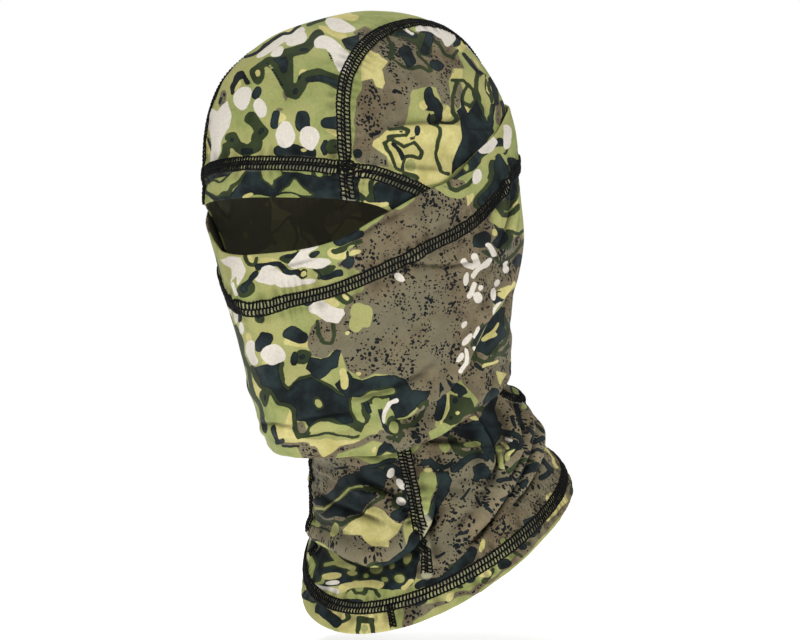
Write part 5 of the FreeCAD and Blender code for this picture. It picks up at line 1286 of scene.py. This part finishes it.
            ("s", 1.6, [(437, 556), (446, 552)]), ("s", 3.0, [(540, 476), (550, 470)]), ("s", 1.5, [(478, 500), (482, 507)]),
            ("s", 5.0, [(523, 472), (533, 467)]), ("s", 2.4, [(514, 478), (520, 474)]), ("s", 2.0, [(499, 480), (508, 476)]),
            ("e", 521, 484, 4, 3), ("s", 5.0, [(470, 551), (466, 560)]), ("s", 4.6, [(421, 586), (440, 579), (455, 570),
                                                                           (468, 558)]),
            ("o", [(522, 520), (535, 514), (541, 526), (535, 536), (526, 538)]), ("e", 521, 546, 5, 4),
            ("e", 503, 565, 6, 4.6), ("e", 473, 577, 5.6, 6.4), ("s", 2.6, [(514, 386), (522, 398), (524, 408)]),
            ("s", 2.0, [(512, 394), (516, 410), (520, 428)])],
        "green": [
            ("o", [(417, 487), (421, 474), (429, 470), (438, 474), (437, 484), (430, 498), (424, 513), (417, 518)]),
            ("s", 1.3, [(313, 506.5), (326, 507), (342, 495.5), (351, 487.5), (362, 486.5)]),
            ("s", 2.6, [(309, 508), (311, 518), (319, 522)]), ("e", 335, 529, 4, 8, 12),
            ("s", 2.8, [(316, 543), (328, 551), (341, 560), (350, 567)]), ("s", 2.4, [(309, 552), (312, 562), (312, 577)]),
            ("s", 1.9, [(322, 562), (334, 560), (344, 565)]), ("e", 350.4, 572.3, 5.2, 2.8), ("e", 374, 568, 6.6, 4.2),
            ("e", 400, 577, 5.6, 4.6), ("e", 408, 559, 4.4, 6.4), ("e", 384, 578, 4, 2.6, 20), ("e", 364, 574, 2.4, 2.2),
            ("e", 389, 565, 3, 3.4), ("s", 1.6, [(318, 584), (324, 581), (326, 574)]), ("e", 356, 581, 3, 2),
            ("e", 445, 445, 6.2, 5.4, -20), ("e", 471.5, 443, 7, 3.4, -10), ("e", 508, 455, 3.2, 5.6, 15),
            ("s", 2.4, [(498, 446), (500, 456), (502, 466)]), ("s", 2.8, [(505, 541), (509, 555)]),
            ("s", 3.0, [(515, 382), (518, 390)]), ("e", 521, 407, 2.6, 2.4), ("e", 365, 627, 3, 4),
            ("s", 3.2, [(342, 590), (330, 598), (316, 596)])],
        "yellow": [
            ("o", [(350, 523), (359, 518), (368, 510), (376, 508.5), (387, 511), (391, 517), (396, 522), (403, 523),
                   (397, 532), (389, 538), (388, 545), (371, 542), (361, 536), (345, 535), (343, 529)]),
            ("e", 313, 514, 2.2, 5), ("e", 331.5, 574.4, 8, 3.8), ("s", 4.0, [(340, 588), (354, 584), (370, 582), (380, 584)]),
            ("s", 2.6, [(412, 580), (405, 587)]), ("e", 428.4, 470.8, 4.6, 2.8), ("e", 473.5, 418.6, 4.6, 2.8),
            ("e", 481.5, 545, 3.4, 8, 20), ("s", 1.2, [(500, 441), (505, 447)]), ("e", 510, 452, 1.8, 3.6, 20),
            ("o", [(542, 517), (549, 497), (557, 487), (566, 500), (554, 515), (546, 521)]),
            ("e", 486, 573, 7, 3.6, -12), ("e", 451, 597, 4, 5),
            ("s", 1.8, [(544, 447), (553, 458), (556, 468)])],
        "white": [
            ("e", 392.2, 474.3, 4.0, 4.8), ("e", 401.4, 483, 4, 5.6), ("e", 399.7, 499.7, 4, 3.6), ("e", 332.7, 581.7, 5.4, 2.5),
            ("s", 2.6, [(309, 582), (318, 587), (334, 590)]), ("s", 1.4, [(503.4, 437.5), (507, 439.5)])],
    },
}
# drawn in this order: khaki and taupe areas, olive, navy, then green and yellow islands and white
KEYS = ("s_k", "s_t", "s_l", "s_n", "s_g", "s_y", "s_w")
NAMES = dict(zip(KEYS, ("khaki", "taupe", "olive", "navy", "green", "yellow", "white")))


def print_fields(cloth, part, low_z=None):
    """The layout's fields on a cloth, and how far it rules there."""
    c = chart(0.3 * cloth.base + 0.7 * cloth.p)
    n = grid_normals(cloth.base, cloth.closed) * (-1 if cloth.flip else 1)
    cov = facing(cloth.base, n)
    if not LAYOUT[part]:
        cov = cov * 0
    z = np.zeros(c.shape[:-1])
    for sc, amp, seed in ((17.0, 3.0, 61), (8.0, 0.8, 63)):
        g = np.stack([c[..., 0], c[..., 1], z], -1)
        c = c + amp * np.stack([noise3(g, sc, seed), noise3(g, sc, seed + 1)], -1)
    out = {"cov": cov}
    for k in KEYS:
        items = LAYOUT[part].get(NAMES[k], [])
        f = shape_field(c, items) if items else np.full(cov.shape, -60.0)
        out[k] = np.clip(f, -30, 30)
    out["painted_shading"] = cloth.painted_shading
    if part == "neck":
        # the neck lies in the shade of the mask's rim just below it
        under = mask_fold(wrap(deg_of(cloth.base, MASK))) - 1.0 - cloth.base[..., 2]
        out["painted_shading"] = 1.7 * cloth.painted_shading + 0.8 * np.exp(-np.maximum(under, 0) / 3.0)
    out["more"] = np.full(cov.shape, 0.03 if part == "neck" else 0.0)
    lines = {"hood": (CROWN_L4, CROWN_R4, BROW4), "mask": (MASK4,), "neck": (HEM4, NAPE4, NECK_L4, NECK_R4)}[part]
    gap = np.full(cov.shape, 50.0)
    for line in lines:
        near = ((cloth.base > line.min(0) - 8) & (cloth.base < line.max(0) + 8)).all(-1)
        if near.any():
            gap[near] = np.minimum(gap[near], polyline_distance(cloth.base[near], line)[0])
    # cloth beside the seams pales: partly the pale ground of the stretched knit, partly painted light
    out["seam"] = smoothstep(3.6, 2.6, gap)
    cloth.fields = out


# ---------------------------------------------------------------- materials
class Nodes:
    def __init__(self, name):
        self.mat = bpy.data.materials.new(name)
        self.mat.use_nodes = True
        self.t = self.mat.node_tree
        for n in list(self.t.nodes):
            self.t.nodes.remove(n)

    def node(self, kind, **kw):
        n = self.t.nodes.new(kind)
        for k, v in kw.items():
            setattr(n, k, v)
        return n

    def put(self, sock, val):
        if isinstance(val, bpy.types.NodeSocket):
            self.t.links.new(val, sock)
        elif isinstance(val, (tuple, list)) and sock.type == "RGBA" and len(val) == 3:
            sock.default_value = (*val, 1.0)
        else:
            sock.default_value = val

    def math(self, op, a, b=None, c=None, clamp=False):
        n = self.node("ShaderNodeMath", operation=op, use_clamp=clamp)
        for i, v in enumerate((a, b, c)):
            if v is not None:
                self.put(n.inputs[i], v)
        return n.outputs[0]

    def vec(self, op, a, b=None, scale=None):
        n = self.node("ShaderNodeVectorMath", operation=op)
        self.put(n.inputs[0], a)
        if b is not None:
            self.put(n.inputs[1], b)
        if scale is not None:
            self.put(n.inputs["Scale"], scale)
        return n.outputs["Value"] if op in ("LENGTH", "DISTANCE", "DOT_PRODUCT") else n.outputs["Vector"]

    def attr(self, name, out="Fac"):
        return self.node("ShaderNodeAttribute", attribute_name=name).outputs[out]

    def noise(self, vec, scale, detail=1.5, rough=0.45, out="Fac", dist=0.0):
        n = self.node("ShaderNodeTexNoise")
        self.put(n.inputs["Vector"], vec)
        n.inputs["Scale"].default_value = scale
        n.inputs["Detail"].default_value = detail
        n.inputs["Roughness"].default_value = rough
        n.inputs["Distortion"].default_value = dist
        return n.outputs[out]

    def voronoi(self, vec, scale, feature="F1", out="Distance", rand=1.0):
        n = self.node("ShaderNodeTexVoronoi", feature=feature)
        self.put(n.inputs["Vector"], vec)
        n.inputs["Scale"].default_value = scale
        n.inputs["Randomness"].default_value = rand
        return n.outputs[out]

    def step(self, val, lo, hi):
        n = self.node("ShaderNodeMapRange", interpolation_type="SMOOTHSTEP")
        self.put(n.inputs["Value"], val)
        self.put(n.inputs["From Min"], lo)
        self.put(n.inputs["From Max"], hi)
        return n.outputs["Result"]

    def mix(self, fac, a, b, blend="MIX"):
        n = self.node("ShaderNodeMix", data_type="RGBA", blend_type=blend)
        self.put(n.inputs[0], fac)
        self.put(n.inputs[6], a)
        self.put(n.inputs[7], b)
        return n.outputs[2]


def srgb(r, g, b):
    out = []
    for v in (r, g, b):
        v = v / 255.0
        out.append(v / 12.92 if v <= 0.04045 else ((v + 0.055) / 1.055) ** 2.4)
    return tuple(out)


GREEN, GREEN2, GREEN3 = srgb(161, 167, 104), srgb(138, 147, 85), srgb(178, 174, 112)
KHAKI, KHAKI2 = srgb(214, 204, 138), srgb(190, 180, 112)
TAUPE, TAUPE2, TAUPE3 = srgb(129, 117, 92), srgb(105, 93, 71), srgb(120, 117, 95)
NAVY, NAVY2 = srgb(41, 54, 55), srgb(17, 22, 24)
OLIVE, OLIVE2 = srgb(58, 68, 40), srgb(42, 52, 32)
WHITE = srgb(224, 217, 204)


def camo(name, pale=False):
    m = Nodes(name)
    pat = m.attr("pat", "Vector")
    cov = m.step(m.attr("cov"), 0.44, 0.56)         # the two prints meet along a line, with no bare strip
    off = m.math("MULTIPLY", cov, 60.0)             # the random print is off where the layout rules
    rule = m.math("MULTIPLY", m.math("SUBTRACT", 1.0, cov), 60.0)

    def both(key, rand):
        a = m.math("SUBTRACT", m.attr(key), rule)
        b = m.math("SUBTRACT", rand, off)
        return m.math("MAXIMUM", a, b)

    warp = m.vec("SUBTRACT", m.noise(pat, 62.0, 1.0, 0.5, "Color"), (0.5, 0.5, 0.5))
    p1 = m.vec("ADD", pat, m.vec("SCALE", warp, scale=0.012))
    far = m.vec("ADD", p1, (0.31, 0.17, 0.05))
    # random fields as rough distances in mm
    r_t = m.math("MULTIPLY", m.math("SUBTRACT", m.noise(p1, 15.0, 1.0, 0.4), 0.535), 170.0)
    r_k = m.math("MULTIPLY", m.math("SUBTRACT", m.noise(far, 24.0, 1.5, 0.45), 0.585), 110.0)
    d_noise = m.noise(m.vec("ADD", p1, (0.07, 0.4, 0.2)), 34.0, 1.2, 0.42)
    r_n = m.math("MULTIPLY", m.math("SUBTRACT", d_noise, 0.565), 75.0)
    loops = m.noise(m.vec("ADD", p1, (0.9, 0.1, 0.6)), 48.0, 1.0, 0.4)
    r_l = m.math("MULTIPLY", m.math("SUBTRACT", 0.024, m.math("ABSOLUTE", m.math("SUBTRACT", loops, 0.55))), 55.0)
    blob = m.voronoi(m.vec("ADD", p1, (0.2, 0.8, 0.1)), 62.0, rand=0.9)
    gate = m.noise(m.vec("ADD", pat, (0.5, 0.3, 0.9)), 17.0, 0.5, 0.4)
    r_w = m.math("MULTIPLY", m.math("SUBTRACT", m.math("ADD", 0.20, m.math("MULTIPLY", m.math("SUBTRACT", gate, 0.60), 2.4)), blob), 11.0)
    r_g = m.math("MULTIPLY", m.math("SUBTRACT", 0.16, m.voronoi(m.vec("ADD", p1, (0.6, 0.2, 0.4)), 80.0)), 10.0)
    r_l = m.math("MAXIMUM", r_l, m.math("ADD", r_n, 2.4))
    r_g = m.math("MINIMUM", r_g, m.math("SUBTRACT", r_n, 1.5))

    s_t, s_k, s_n = both("s_t", r_t), both("s_k", r_k), both("s_n", r_n)
    s_l, s_w, s_g = both("s_l", r_l), both("s_w", r_w), both("s_g", r_g)
    # print edges are a little uneven, as ink on knit
    fuzz = m.math("MULTIPLY", m.math("SUBTRACT", m.noise(pat, 900.0, 2.0, 0.6), 0.5), 0.5)

    def cut(sd, level=0.0, soft=0.16):
        return m.step(m.math("ADD", sd, fuzz), level - soft, level + soft)

    shade = m.step(m.noise(pat, 85.0, 3.0, 0.6), 0.30, 0.70)
    drift = m.step(m.noise(m.vec("ADD", pat, (0.4, 0.6, 0.2)), 30.0, 2.0, 0.5), 0.42, 0.66)
    green = m.mix(m.math("MULTIPLY", drift, 0.8), m.mix(shade, GREEN, GREEN2), GREEN3)
    brown = m.mix(m.math("MULTIPLY", drift, 0.65), m.mix(shade, TAUPE, TAUPE2), TAUPE3)
    col = green
    col = m.mix(cut(s_k), col, m.mix(shade, KHAKI, KHAKI2))
    on_taupe = cut(s_t)
    col = m.mix(on_taupe, col, brown)
    # speckles: angular, in clusters, on the brown only
    cell = m.voronoi(m.vec("ADD", pat, m.vec("SCALE", m.vec("SUBTRACT", m.noise(pat, 400.0, 1.0, 0.5, "Color"), (0.5, 0.5, 0.5)), scale=0.0018)), 560.0)
    cluster = m.noise(m.vec("ADD", pat, (0.3, 0.3, 0.3)), 85.0, 2.0, 0.55)
    spk = m.step(m.math("SUBTRACT", m.math("ADD", m.math("ADD", 0.24, m.attr("more")), m.math("MULTIPLY", m.math("SUBTRACT", cluster, 0.44), 1.5)), cell), 0.0, 0.05)
    bend = m.vec("SCALE", m.vec("SUBTRACT", m.noise(pat, 230.0, 1.0, 0.5, "Color"), (0.5, 0.5, 0.5)), scale=0.0042)
    for turn, (sx, sy, sz), seed, cut_at in ((0, (1.0, 1.0, 2.4), 0.7, 0.44), (1, (1.9, 1.9, 0.85), 0.15, 0.475)):
        crack = m.voronoi(m.vec("ADD", m.vec("MULTIPLY", m.vec("ADD", pat, bend), (sx, sy, sz)), (seed, 0.2, 0.4)), 215.0)
        patch = m.noise(m.vec("ADD", pat, (seed, 0.2, 0.1)), 75.0, 2.0, 0.6)
        big = m.step(m.math("SUBTRACT", m.math("MULTIPLY", m.math("SUBTRACT", patch, cut_at), 1.7), crack), 0.0, 0.04)
        spk = m.math("MAXIMUM", spk, big)
    spk = m.math("MULTIPLY", spk, m.step(m.math("SUBTRACT", s_t, 0.6), 0.0, 0.4))
    col = m.mix(spk, col, NAVY2)
    col = m.mix(cut(s_l), col, m.mix(shade, OLIVE, OLIVE2))
    col = m.mix(cut(s_n), col, m.mix(shade, NAVY, NAVY2))
    # islands in the dark ink have an olive rim, and dark shapes a black one
    rim = m.math("MULTIPLY", cut(s_g, -1.1), cut(s_n, 0.5))
    col = m.mix(m.math("MULTIPLY", rim, 0.85), col, m.mix(shade, OLIVE, OLIVE2))
    edge = m.math("MULTIPLY", cut(s_n), m.math("SUBTRACT", 1.0, cut(s_n, 0.55)))
    col = m.mix(m.math("MULTIPLY", edge, 0.6), col, srgb(10, 13, 14))
    col = m.mix(cut(s_g), col, green)
    col = m.mix(cut(m.math("SUBTRACT", m.attr("s_y"), rule)), col, m.mix(shade, KHAKI, KHAKI2))
    col = m.mix(cut(s_w), col, WHITE)

    # knit: fine wales and courses
    uv = m.node("ShaderNodeUVMap", uv_map="cloth").outputs["UV"]
    sep = m.node("ShaderNodeSeparateXYZ")
    m.put(sep.inputs[0], uv)
    wave_u = m.math("SINE", m.math("MULTIPLY", sep.outputs[0], 2 * PI / 0.00075))
    wave_v = m.math("SINE", m.math("MULTIPLY", sep.outputs[1], 2 * PI / 0.00060))
    knit = m.math("MULTIPLY", m.math("ADD", wave_u, 1.0), m.math("ADD", wave_v, 1.2))
    knit = m.math("MULTIPLY", knit, 0.25)
    fibre = m.noise(pat, 2600.0, 2.0, 0.6)
    tone = m.math("ADD", 0.86, m.math("MULTIPLY", m.math("ADD", m.math("MULTIPLY", knit, 0.5), fibre), 0.17))
    grain = m.noise(pat, 760.0, 2.0, 0.6)
    tone = m.math("MULTIPLY", tone, m.math("ADD", 0.80, m.math("MULTIPLY", grain, 0.40)))
    worn = m.noise(pat, 28.0, 3.0, 0.6)
    tone = m.math("MULTIPLY", tone, m.math("ADD", 0.92, m.math("MULTIPLY", worn, 0.16)))
    # painted shade: cloth down in a fold is darkened in its colour as if it saw less light; painted highlight: cloth on
    # top of one is made paler
    low = m.math("MULTIPLY", m.attr("painted_shading"), 0.62, clamp=True)
    high = m.math("MULTIPLY", m.attr("painted_shading"), -0.35, clamp=True)
    tone = m.math("MULTIPLY", tone, m.math("SUBTRACT", 1.0, m.math("MULTIPLY", low, 0.80)))
    tone = m.math("MULTIPLY", tone, m.math("ADD", 1.0, m.math("MULTIPLY", high, 0.26)))
    # pulled tight between the stitches the knit opens and shows its pale ground, and is painted paler still: painted
    # light on the cloth that the threads shade
    seam_ground_and_painted_light = m.attr("seam")
    col = m.mix(m.math("MULTIPLY", seam_ground_and_painted_light, 0.36), col, srgb(226, 224, 188))
    tint = m.node("ShaderNodeCombineColor")
    for i in range(3):
        m.put(tint.inputs[i], tone)
    col = m.mix(1.0, col, tint.outputs[0], "MULTIPLY")
    if pale:
        # the reverse of a printed knit: pale, with the print showing through faintly
        col = m.mix(0.62, col, srgb(176, 172, 156))
        col = m.mix(1.0, col, srgb(214, 214, 208), "MULTIPLY")
    height = m.math("ADD", m.math("MULTIPLY", knit, 0.7), m.math("MULTIPLY", fibre, 0.5))
    bump = m.node("ShaderNodeBump")
    bump.inputs["Strength"].default_value = 0.22
    bump.inputs["Distance"].default_value = 0.00022
    m.put(bump.inputs["Height"], height)
    soft = m.node("ShaderNodeBump")
    soft.inputs["Strength"].default_value = 0.35
    soft.inputs["Distance"].default_value = 0.0012
    m.put(soft.inputs["Height"], m.noise(pat, 150.0, 2.0, 0.5))
    m.put(soft.inputs["Normal"], bump.outputs["Normal"])
    b = m.node("ShaderNodeBsdfPrincipled")
    m.put(b.inputs["Base Color"], col)
    m.put(b.inputs["Normal"], soft.outputs["Normal"])
    m.put(b.inputs["Roughness"], m.math("ADD", 0.56, m.math("MULTIPLY", fibre, 0.12)))
    b.inputs["Specular IOR Level"].default_value = 0.12
    b.inputs["Sheen Weight"].default_value = 0.0
    b.inputs["Sheen Roughness"].default_value = 0.5
    out = m.node("ShaderNodeOutputMaterial")
    m.put(out.inputs["Surface"], b.outputs["BSDF"])
    return m.mat


def thread_material(name="seam_thread"):
    m = Nodes(name)
    pos = m.node("ShaderNodeTexCoord").outputs["Object"]
    n1 = m.noise(pos, 1900.0, 2.0, 0.6)
    n2 = m.noise(pos, 120.0, 1.0, 0.5)
    col = m.mix(n1, srgb(3, 3, 3), srgb(15, 16, 15))
    col = m.mix(m.math("MULTIPLY", n2, 0.3), col, srgb(24, 26, 24))
    bump = m.node("ShaderNodeBump")
    bump.inputs["Strength"].default_value = 0.5
    bump.inputs["Distance"].default_value = 0.0002
    m.put(bump.inputs["Height"], n1)
    b = m.node("ShaderNodeBsdfPrincipled")
    m.put(b.inputs["Base Color"], col)
    m.put(b.inputs["Normal"], bump.outputs["Normal"])
    m.put(b.inputs["Roughness"], m.math("ADD", 0.50, m.math("MULTIPLY", n1, 0.2)))
    b.inputs["Specular IOR Level"].default_value = 0.10
    out = m.node("ShaderNodeOutputMaterial")
    m.put(out.inputs["Surface"], b.outputs["BSDF"])
    return m.mat


# ---------------------------------------------------------------- build
for piece, part in ((crown, "hood"), (side_l, "hood"), (side_r, "hood"), (mask, "mask"), (neck_f, "neck"),
                    (neck_b, "neck"), (hem, "neck")):
    print_fields(piece, part)
side_l.offset = np.array([140.0, 35.0, -60.0])
side_r.offset = np.array([-160.0, 20.0, 80.0])
mask.offset = np.array([35.0, 150.0, 40.0])
neck_f.offset = neck_b.offset = hem.offset = np.array([300.0, -40.0, 15.0])

printed, lining = camo("jersey_print"), camo("jersey_reverse", pale=True)
thread = thread_material()
made = {c.name: c.make([printed, lining]) for c in (crown, side_l, side_r, mask, neck_f, neck_b, hem)}

hood_tree = surface_tree([crown, side_l, side_r])
mask_tree = surface_tree([mask])
neck_tree = surface_tree([neck_f, neck_b, hem])


def stitched(name, tree, line, **kw):
    t = Threads(name, tree)
    seam_threads(t, line, **kw)
    return t


def end_bump(at_start, at_end, height=1.3, reach=6.0):
    """The thread climbs over the seam it meets at an end."""
    def f(s, total):
        out = 0.0
        if at_start:
            out = out + height * (1 - smoothstep(reach * 0.5, reach, s))
        if at_end:
            out = out + height * (1 - smoothstep(reach * 0.5, reach, total - s))
        return out
    return f


THREE = (-1.0, -0.20, 0.34, 1.0)
t_crown_l = stitched("crown_thread_left", hood_tree, CROWN_L, seed=11, pitch=2.1, rails=THREE, rad=0.47)
t_crown_r = stitched("crown_thread_right", hood_tree, CROWN_R, seed=12, pitch=2.1, rails=THREE, rad=0.47)
brow_over = lambda s, total: 0.0
t_brow = stitched("brow_thread", hood_tree, BROW_LINE, seed=13, pitch=1.75, rails=THREE, rad=0.46)
t_mask = stitched("mask_thread", mask_tree, MASK_HEM_LINE, seed=14, pitch=1.70)
t_neck_l = stitched("neck_thread_left", neck_tree, NECK_L, seed=15, pitch=1.9, rails=THREE, rad=0.46)
t_neck_r = stitched("neck_thread_right", neck_tree, NECK_R, seed=16, pitch=1.85)
t_nape = stitched("nape_thread", neck_tree, NAPE_LINE, seed=17, half=2.5, rad=0.38)
t_hem = stitched("hem_thread", neck_tree, HEM_LINE, seed=18, pitch=1.9)
t_join = stitched("band_join_thread", neck_tree, JOIN_LINE[:int(len(JOIN_LINE) * 0.55)], seed=19, half=1.6)

# the loose end of thread below the left crown seam
if True:
    foot = CROWN_L[0]
    tail = np.array([foot + np.array([0.0, 0.0, 1.0]), foot + np.array([-1.2, -1.4, -2.4]),
                     foot + np.array([-2.6, -2.2, -4.2]), foot + np.array([-3.4, -1.8, -6.4])])
    tail = dense(tail, 0.6)
    nn = np.tile(np.array([[0.55, -0.83, 0.0]]), (len(tail), 1))
    t_crown_l.tube(tail, nn, 0.28, 1.0)

threads = {t.name: t.make(thread) for t in (t_crown_l, t_crown_r, t_brow, t_mask, t_neck_l, t_neck_r, t_nape,
                                            t_hem, t_join)}

# ---------------------------------------------------------------- riding, replacing
STAND_IN = {
    "hood_crown": ["crown_panel"], "hood_side_left": ["side_panel_left"], "hood_side_right": ["side_panel_right"],
    "mask_cloth": ["mask_panel", "mask_back_panel", "chin_panel"],
    "neck_cloth_front": ["neck_front_panel"], "neck_cloth_back": ["neck_back_panel"], "hem_cloth": ["hem_band"],
    "crown_thread_left": ["crown_seam_left"], "crown_thread_right": ["crown_seam_right"],
    "brow_thread": ["brow_hem_seam"], "mask_thread": ["mask_hem_seam", "mask_back_hem_seam"],
    "neck_thread_left": ["neck_seam_left"], "neck_thread_right": ["neck_seam_right"],
    "nape_thread": ["nape_seam"], "hem_thread": ["hem_seam"], "band_join_thread": ["band_join_seam"]}
objects = dict(made)
objects.update(threads)
for name, obj in objects.items():
    if name in ("mask_cloth", "mask_thread"):
        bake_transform(obj)
    else:
        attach(obj, "hood")
    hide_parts(*STAND_IN[name])

# ---------------------------------------------------------------- cloth areas
# The area of each cloth's outer surface as worn, in square metres.
for c in (crown, side_l, side_r, mask, neck_f, neck_b, hem):
    print("area", c.name, round(c.area(), 4))

# ---------------------------------------------------------------- floor, light, camera
bpy.ops.mesh.primitive_plane_add(size=3.2, location=(0, 0, -0.012))
floor = bpy.context.object
floor.name = "floor"
fm = Nodes("pale_floor")
fb = fm.node("ShaderNodeBsdfPrincipled")
fpos = fm.node("ShaderNodeTexCoord").outputs["Object"]
fm.put(fb.inputs["Base Color"], fm.mix(fm.noise(fpos, 3.0, 2.0, 0.5), (0.93, 0.93, 0.93), (0.96, 0.96, 0.96)))
fb.inputs["Roughness"].default_value = 0.9
fb.inputs["Emission Color"].default_value = (1.0, 1.0, 1.0, 1.0)
fb.inputs["Emission Strength"].default_value = 0.64
fo = fm.node("ShaderNodeOutputMaterial")
fm.put(fo.inputs["Surface"], fb.outputs["BSDF"])
floor.data.materials.append(fm.mat)

world = bpy.data.worlds.new("studio")
bpy.context.scene.world = world
world.use_nodes = True
bg = world.node_tree.nodes["Background"]
bg.inputs["Color"].default_value = (1.0, 1.0, 1.0, 1.0)
seen = world.node_tree.nodes.new("ShaderNodeLightPath")
level = world.node_tree.nodes.new("ShaderNodeMapRange")
level.inputs["To Min"].default_value = 0.33
level.inputs["To Max"].default_value = 1.0
world.node_tree.links.new(seen.outputs["Is Camera Ray"], level.inputs["Value"])
world.node_tree.links.new(level.outputs["Result"], bg.inputs["Strength"])


def area_light(name, loc, target, size, power):
    data = bpy.data.lights.new(name, "AREA")
    data.shape = "RECTANGLE"
    data.size, data.size_y = size
    data.energy = power
    obj = bpy.data.objects.new(name, data)
    bpy.context.scene.collection.objects.link(obj)
    obj.location = loc
    obj.rotation_euler = (Vector(target) - Vector(loc)).to_track_quat("-Z", "Y").to_euler()
    return obj


cam_r, cam_a = Vector(RIGHT), Vector(AHEAD)
mid = Vector((0, 0, 0.17))
area_light("key", mid - cam_a * 1.05 - cam_r * 0.35 + Vector((0, 0, 1.15)), mid, (0.55, 0.55), 10.1)
area_light("side", mid - cam_a * 0.35 + cam_r * 1.25 + Vector((0, 0, 0.75)), mid, (0.45, 0.45), 4.0)
area_light("top", mid + cam_a * 0.3 + Vector((0, 0, 1.3)), mid, (0.8, 0.8), 3.5)

cam = bpy.data.cameras.new("camera")
cam.sensor_width = 36.0
cam.lens = 36.0 * FOCAL / 800.0
camera = bpy.data.objects.new("camera", cam)
bpy.context.scene.collection.objects.link(camera)
camera.location = Vector(EYE) * MM
look = Vector(AHEAD)
camera.rotation_euler = look.to_track_quat("-Z", "Y").to_euler()
bpy.context.scene.camera = camera
bpy.context.scene.view_settings.view_transform = "Standard"
bpy.context.scene.view_settings.look = "None"
